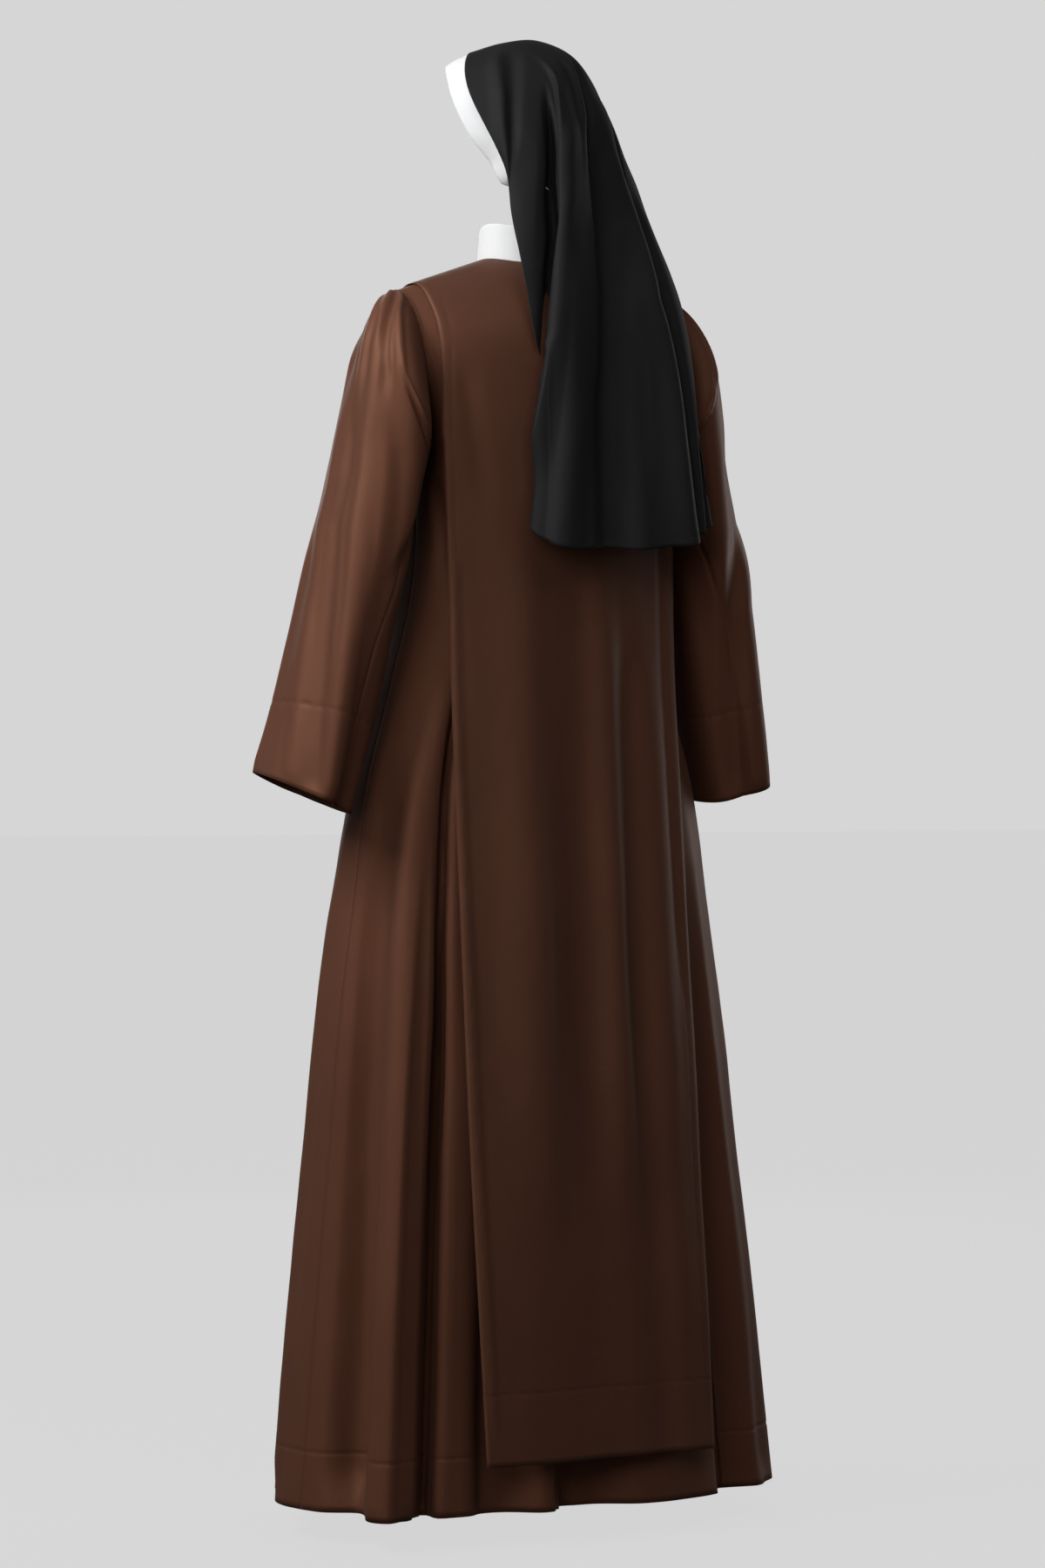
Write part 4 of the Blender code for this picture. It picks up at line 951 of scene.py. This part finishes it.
def veil_surface(at, angle):
    """The veil at a share of the way to its hem and an angle from -90, its left edge, to 90, its right."""
    at, angle = np.broadcast_arrays(np.asarray(at, float), np.asarray(angle, float))
    left, middle, right = [
        np.stack([along(VEIL, "along", name + " " + axis, at) for axis in "xyz"], -1)
        for name in ("left", "middle", "right")
    ]
    root, side = (left + right) / 2, (right - left) / 2
    reach = middle - root
    forward = unit(np.cross(reach, side))
    a = np.radians(angle)[..., None]
    out = np.zeros(at.shape)
    for fold in VEIL_FOLDS:
        line = np.interp(at, fold["along"], fold["angle"])
        grown = ease((at - fold["starts"]) / (fold["full"] - fold["starts"]))
        out = out + fold["depth"] * grown * swell(angle - line, fold["half width"])
    push = unit(np.cos(a) * unit(reach) + np.sin(a) * unit(side))
    bow = (along(VEIL, "along", "bow", at) * np.sin(2 * a[..., 0]) ** 2)[..., None]
    return root + np.cos(a) * reach + np.sin(a) * side + push * out[..., None] + forward * bow


# Along a crease, across is the angle from the veil's middle, -90 at its left edge, and down is the share of
# the way from the band to the hem.
VEIL_CREASES = rows_of(
    CREASE,
    # The back panel's left edge, which laps over the strip beside it.
    ((0.20, 0.25, 0.33, 0.40, 0.475, 0.535, 0.595, 0.67, 0.78, 0.93),
     (-28, -33, -44, -49, -53, -60, -66, -73, -84, -92), 0.007, 0.005, 0.016, (0.08, 0.12), {"lean": -0.007}),
    ((0.22, 0.27, 0.33, 0.39, 0.47, 0.53, 0.59, 0.67, 0.78), (-39, -47, -53, -59, -62, -69, -75, -82, -93),
     -0.017, 0.012, 0.005, (0.10, 0.12)),
    # The pleat behind the band.
    ((0.115, 0.118, 0.115, 0.095, 0.09), (-92, -79, -54, -34, -18), 0.004, 0.010, 0.004, (16, 18),
     {"runs": "across"}),
    ((0.150, 0.150, 0.146, 0.130, 0.12), (-80, -66, -50, -34, -22), -0.004, 0.005, 0.010, (16, 14),
     {"runs": "across"}),
    # The broad swell of the back panel and the hollow to its right.
    ((0.30, 0.36, 0.43, 0.49, 0.56, 0.62, 0.69, 0.76, 0.83, 0.90, 1.02),
     (-40, -41, -41, -45, -51, -55, -57, -56, -53, -47, -37), 0.005, 0.016, 0.018, (0.10, 0.03)),
    ((0.34, 0.43, 0.53, 0.58, 0.65, 0.77, 0.90, 1.02), (-24, -22, -21, -24, -28, -28, -18, -8), -0.010, 0.013,
     0.027, (0.10, 0.03)),
    # The panel's right edge, folded back over the flap behind it.
    ((0.30, 0.335, 0.41, 0.47, 0.53, 0.59, 0.65, 0.71, 0.78, 0.84, 0.91, 1.02),
     (4, 1, -5, -5, 1, 0, 1, 8, 16, 23, 33, 47), 0.008, 0.024, 0.003, (0.12, 0.01), {"lean": 0.006}),
    ((0.30, 0.335, 0.41, 0.47, 0.53, 0.59, 0.65, 0.71, 0.78, 0.84, 0.91, 1.02),
     (9, 6, 0, 0, 6, 5, 6, 13, 22, 29, 39, 53), -0.015, 0.004, 0.010, (0.10, 0.01)),
    ((0.45, 0.61, 0.74, 0.87, 1.02), (22, 24, 34, 52, 72), 0.003, 0.010, 0.012, (0.12, 0.02)),
    # Small folds that spread from the crown.
    ((0.16, 0.24, 0.295, 0.36), (-24, -32, -40, -44), 0.003, 0.004, 0.005, (0.06, 0.06)),
    ((0.20, 0.295, 0.38, 0.46), (-10, -20, -29, -34), 0.004, 0.006, 0.004, (0.07, 0.08)),
    ((0.22, 0.30, 0.38, 0.46), (-4, -14, -23, -28), -0.004, 0.004, 0.006, (0.07, 0.08)),
    # The side away from the photograph.
    ((0.16, 0.30, 0.45, 0.60, 0.80, 1.02), (44, 46, 50, 54, 62, 76), -0.007, 0.006, 0.010, (0.10, 0.03)),
    ((0.18, 0.32, 0.50, 0.70), (62, 62, 66, 74), 0.005, 0.008, 0.006, (0.10, 0.14)),
    ((0.14, 0.26, 0.40, 0.55), (30, 32, 34, 36), 0.004, 0.007, 0.007, (0.08, 0.12)),
    ((0.630, 0.625, 0.628), (-32, -26, -21), -0.0010, 0.0025, 0.0025, (3, 3), {"runs": "across"}),
)
VEIL_LENGTH = 0.62
VEIL_HEM = 0.985
BAND_LAID = 0.06


def build_veil():
    wide, long = VEIL_POINTS
    angle = np.linspace(-90, 90, wide)[None, :]
    at = refined(np.linspace(0, 1, long), [VEIL_HEM], VEIL_LENGTH)
    at = at[(at >= 0) & (at <= 1)][:, None]
    grid = veil_surface(at, angle)
    angle, at = angle + 0 * at, at + 0 * angle
    creases = VEIL_CREASES + (groove(-100, 100, VEIL_HEM, 0.0004, puckers=9),)
    grid = creased(grid, angle, at, creases)
    grid = rumpled(grid, ease((at - BAND_LAID) / 0.2))
    piece = shell("dressed_veil", grid, VEIL_CLOTH, veil_cloth)
    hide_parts("veil")
    normals = grid_normals(grid)
    row = int(np.argmin(np.abs(at[:, 0] - VEIL_HEM)))
    hem = stitches("stitches_veil_hem", grid[row], normals[row], black_thread, pitch=0.003, length=0.0021)
    return piece


def band_path(turn):
    turn = turned(np.asarray(turn, float))
    front = veil_surface(0.0, np.clip(turn, -90, 90))
    left, right = [np.array([VEIL[name + " " + axis][0] for axis in "xyz"]) for name in ("left", "right")]
    root, side = (left + right) / 2, (right - left) / 2
    rearmost = BAND_BACK_REACH * np.array(BAND_BACKWARD) - np.array([0, 0, BAND_BACK_DROP])
    a = np.radians(turn)[..., None]
    back = root + np.sin(a) * side - np.cos(a) * rearmost
    return np.where((np.abs(turn) <= 90)[..., None], front, back)


def build_band():
    wide, high = BAND_POINTS
    turn = -180 + 360 * np.arange(wide) / wide
    here = band_path(turn)
    tangent = unit(band_path(turn + 4) - band_path(turn - 4))
    outward = unit(here - np.array(BAND_CENTRE))
    onward = veil_surface(0.03, np.clip(turn, -90, 90)) - here
    laid = unit(np.cross(onward, tangent))
    lying = (ease((90 - np.abs(turn)) / 25) * (np.abs(turn) < 80))[:, None]
    outward = outward + (laid - outward) * lying
    outward = unit(outward - tangent * (outward * tangent).sum(-1, keepdims=True))
    forward = np.cross(outward, tangent)
    shows = BAND_SHOWS_AT_SIDE + (BAND_SHOWS_AT_MIDDLE - BAND_SHOWS_AT_SIDE) * swell(turn, 22)
    more_inset = BAND_INSET_AT_SIDE - BAND_INSET_AT_MIDDLE
    inset = BAND_INSET_AT_MIDDLE + more_inset * ease((np.abs(turn) - 45) / 45)
    share = np.linspace(1, 0, high)[:, None]
    step = -BAND_UNDER + (shows + BAND_UNDER) * share
    drop = inset + step**2 / (2 * BAND_CURVE_RADIUS)
    grid = here + forward * step[..., None] - outward * drop[..., None]
    piece = shell("dressed_band", grid, LINEN, linen, ring=True)
    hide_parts("veil_band")
    return piece


for side in ("back", "front"):
    build_tunic_panel(side)
for which in ("left", "right"):
    build_sleeve(which)
for side in ("back", "front"):
    build_scapular(side)
build_collar()
build_veil()
build_band()

# Floor, light and camera.
BACKGROUND = 0.672
FLOOR_Z = -1.462
FLOOR_REACH = 60.0
FLOOR_ALBEDO = 0.03
FLOOR_LIGHT = 0.80
DAYLIGHT = {"above": 0.15, "level": 0.12, "below": 0.03}
TARGET = np.array([0.0, 0.0, -0.609])
LAMPS = rows_of(
    ("name", "azimuth", "height", "distance", "size", "power"),
    ("key", 94, 1.6, 1.9, (1.1, 1.1), 62),
    ("fill", 46, 1.0, 2.8, (1.2, 1.6), 27),
    ("top", -6, 2.4, 2.0, (1.6, 1.6), 15),
    ("right", -98, 0.9, 3.0, (1.2, 2.2), 22),
    ("front", 200, 1.2, 3.6, (2.4, 2.4), 45),
)
CAMERA_DISTANCE = 5.0
CAMERA_AZIMUTH = math.radians(30)
LENS = 98.9
SENSOR = 36
PHOTO_SIZE = (1200, 1800)
NECK_COLUMN_IN_PHOTO = 605


def build_world():
    """A plain pale studio: its walls look brighter than the light they give."""
    world = bpy.data.worlds.new("studio")
    bpy.context.scene.world = world
    world.use_nodes = True
    tree = world.node_tree
    walls = tree.nodes["Background"]
    walls.inputs["Color"].default_value = (BACKGROUND, BACKGROUND, BACKGROUND, 1)
    place = node(tree, "ShaderNodeTexCoord")
    split = node(tree, "ShaderNodeSeparateXYZ")
    tree.links.new(place.outputs["Generated"], split.inputs["Vector"])
    height = node(tree, "ShaderNodeMapRange")
    height.inputs["From Min"].default_value = -1.0
    tree.links.new(split.outputs["Z"], height.inputs["Value"])
    ramp = node(tree, "ShaderNodeValToRGB")
    for element, key, at in zip(ramp.color_ramp.elements, ("below", "above"), (0.0, 1.0)):
        element.position, element.color = at, (DAYLIGHT[key],) * 3 + (1,)
    middle = ramp.color_ramp.elements.new(0.5)
    middle.color = (DAYLIGHT["level"],) * 3 + (1,)
    tree.links.new(height.outputs["Result"], ramp.inputs["Fac"])
    glow = node(tree, "ShaderNodeBackground")
    tree.links.new(ramp.outputs["Color"], glow.inputs["Color"])
    seen = node(tree, "ShaderNodeLightPath")
    either = node(tree, "ShaderNodeMixShader")
    tree.links.new(seen.outputs["Is Camera Ray"], either.inputs["Fac"])
    tree.links.new(glow.outputs["Background"], either.inputs[1])
    tree.links.new(walls.outputs["Background"], either.inputs[2])
    tree.links.new(either.outputs["Shader"], tree.nodes["World Output"].inputs["Surface"])
    bpy.context.scene.view_settings.view_transform = "Standard"


def build_floor():
    mesh = bpy.data.meshes.new("floor")
    corners = [(x * FLOOR_REACH, y * FLOOR_REACH, FLOOR_Z) for x, y in ((-1, -1), (1, -1), (1, 1), (-1, 1))]
    mesh.from_pydata(corners, [], [(0, 1, 2, 3)])
    floor = bpy.data.objects.new("floor", mesh)
    bpy.context.scene.collection.objects.link(floor)
    material = bpy.data.materials.new("floor")
    material.use_nodes = True
    shader = material.node_tree.nodes["Principled BSDF"]
    shader.inputs["Base Color"].default_value = (FLOOR_ALBEDO, FLOOR_ALBEDO, FLOOR_ALBEDO, 1)
    shader.inputs["Roughness"].default_value = 1.0
    shader.inputs["Specular IOR Level"].default_value = 0.0
    shader.inputs["Emission Color"].default_value = (1, 1, 1, 1)
    shader.inputs["Emission Strength"].default_value = BACKGROUND - FLOOR_ALBEDO * FLOOR_LIGHT
    mesh.materials.append(material)
    floor.visible_diffuse = False
    floor.visible_glossy = False


def softbox(name, azimuth, height, distance, size, power):
    """A soft light, its azimuth in degrees from the back of the habit towards its left side."""
    a = math.radians(azimuth)
    place = TARGET + np.array([math.sin(a) * distance, math.cos(a) * distance, height])
    light = bpy.data.lights.new(name, "AREA")
    light.shape = "RECTANGLE"
    light.size, light.size_y = size
    light.energy = power
    lamp = bpy.data.objects.new(name, light)
    lamp.location = place
    lamp.rotation_euler = Vector(TARGET - place).to_track_quat("-Z", "Y").to_euler()
    bpy.context.scene.collection.objects.link(lamp)


build_world()
build_floor()
for lamp in LAMPS:
    softbox(**lamp)

camera_data = bpy.data.cameras.new("camera")
camera_data.lens = LENS
camera_data.sensor_width = SENSOR
camera_data.shift_x = (PHOTO_SIZE[0] / 2 - NECK_COLUMN_IN_PHOTO) / PHOTO_SIZE[1]
camera = bpy.data.objects.new("camera", camera_data)
camera.location = TARGET + CAMERA_DISTANCE * np.array([math.sin(CAMERA_AZIMUTH), math.cos(CAMERA_AZIMUTH), 0])
camera.rotation_euler = (math.pi / 2, 0, math.pi - CAMERA_AZIMUTH)
bpy.context.scene.collection.objects.link(camera)
bpy.context.scene.camera = camera

bpy.context.view_layer.update()
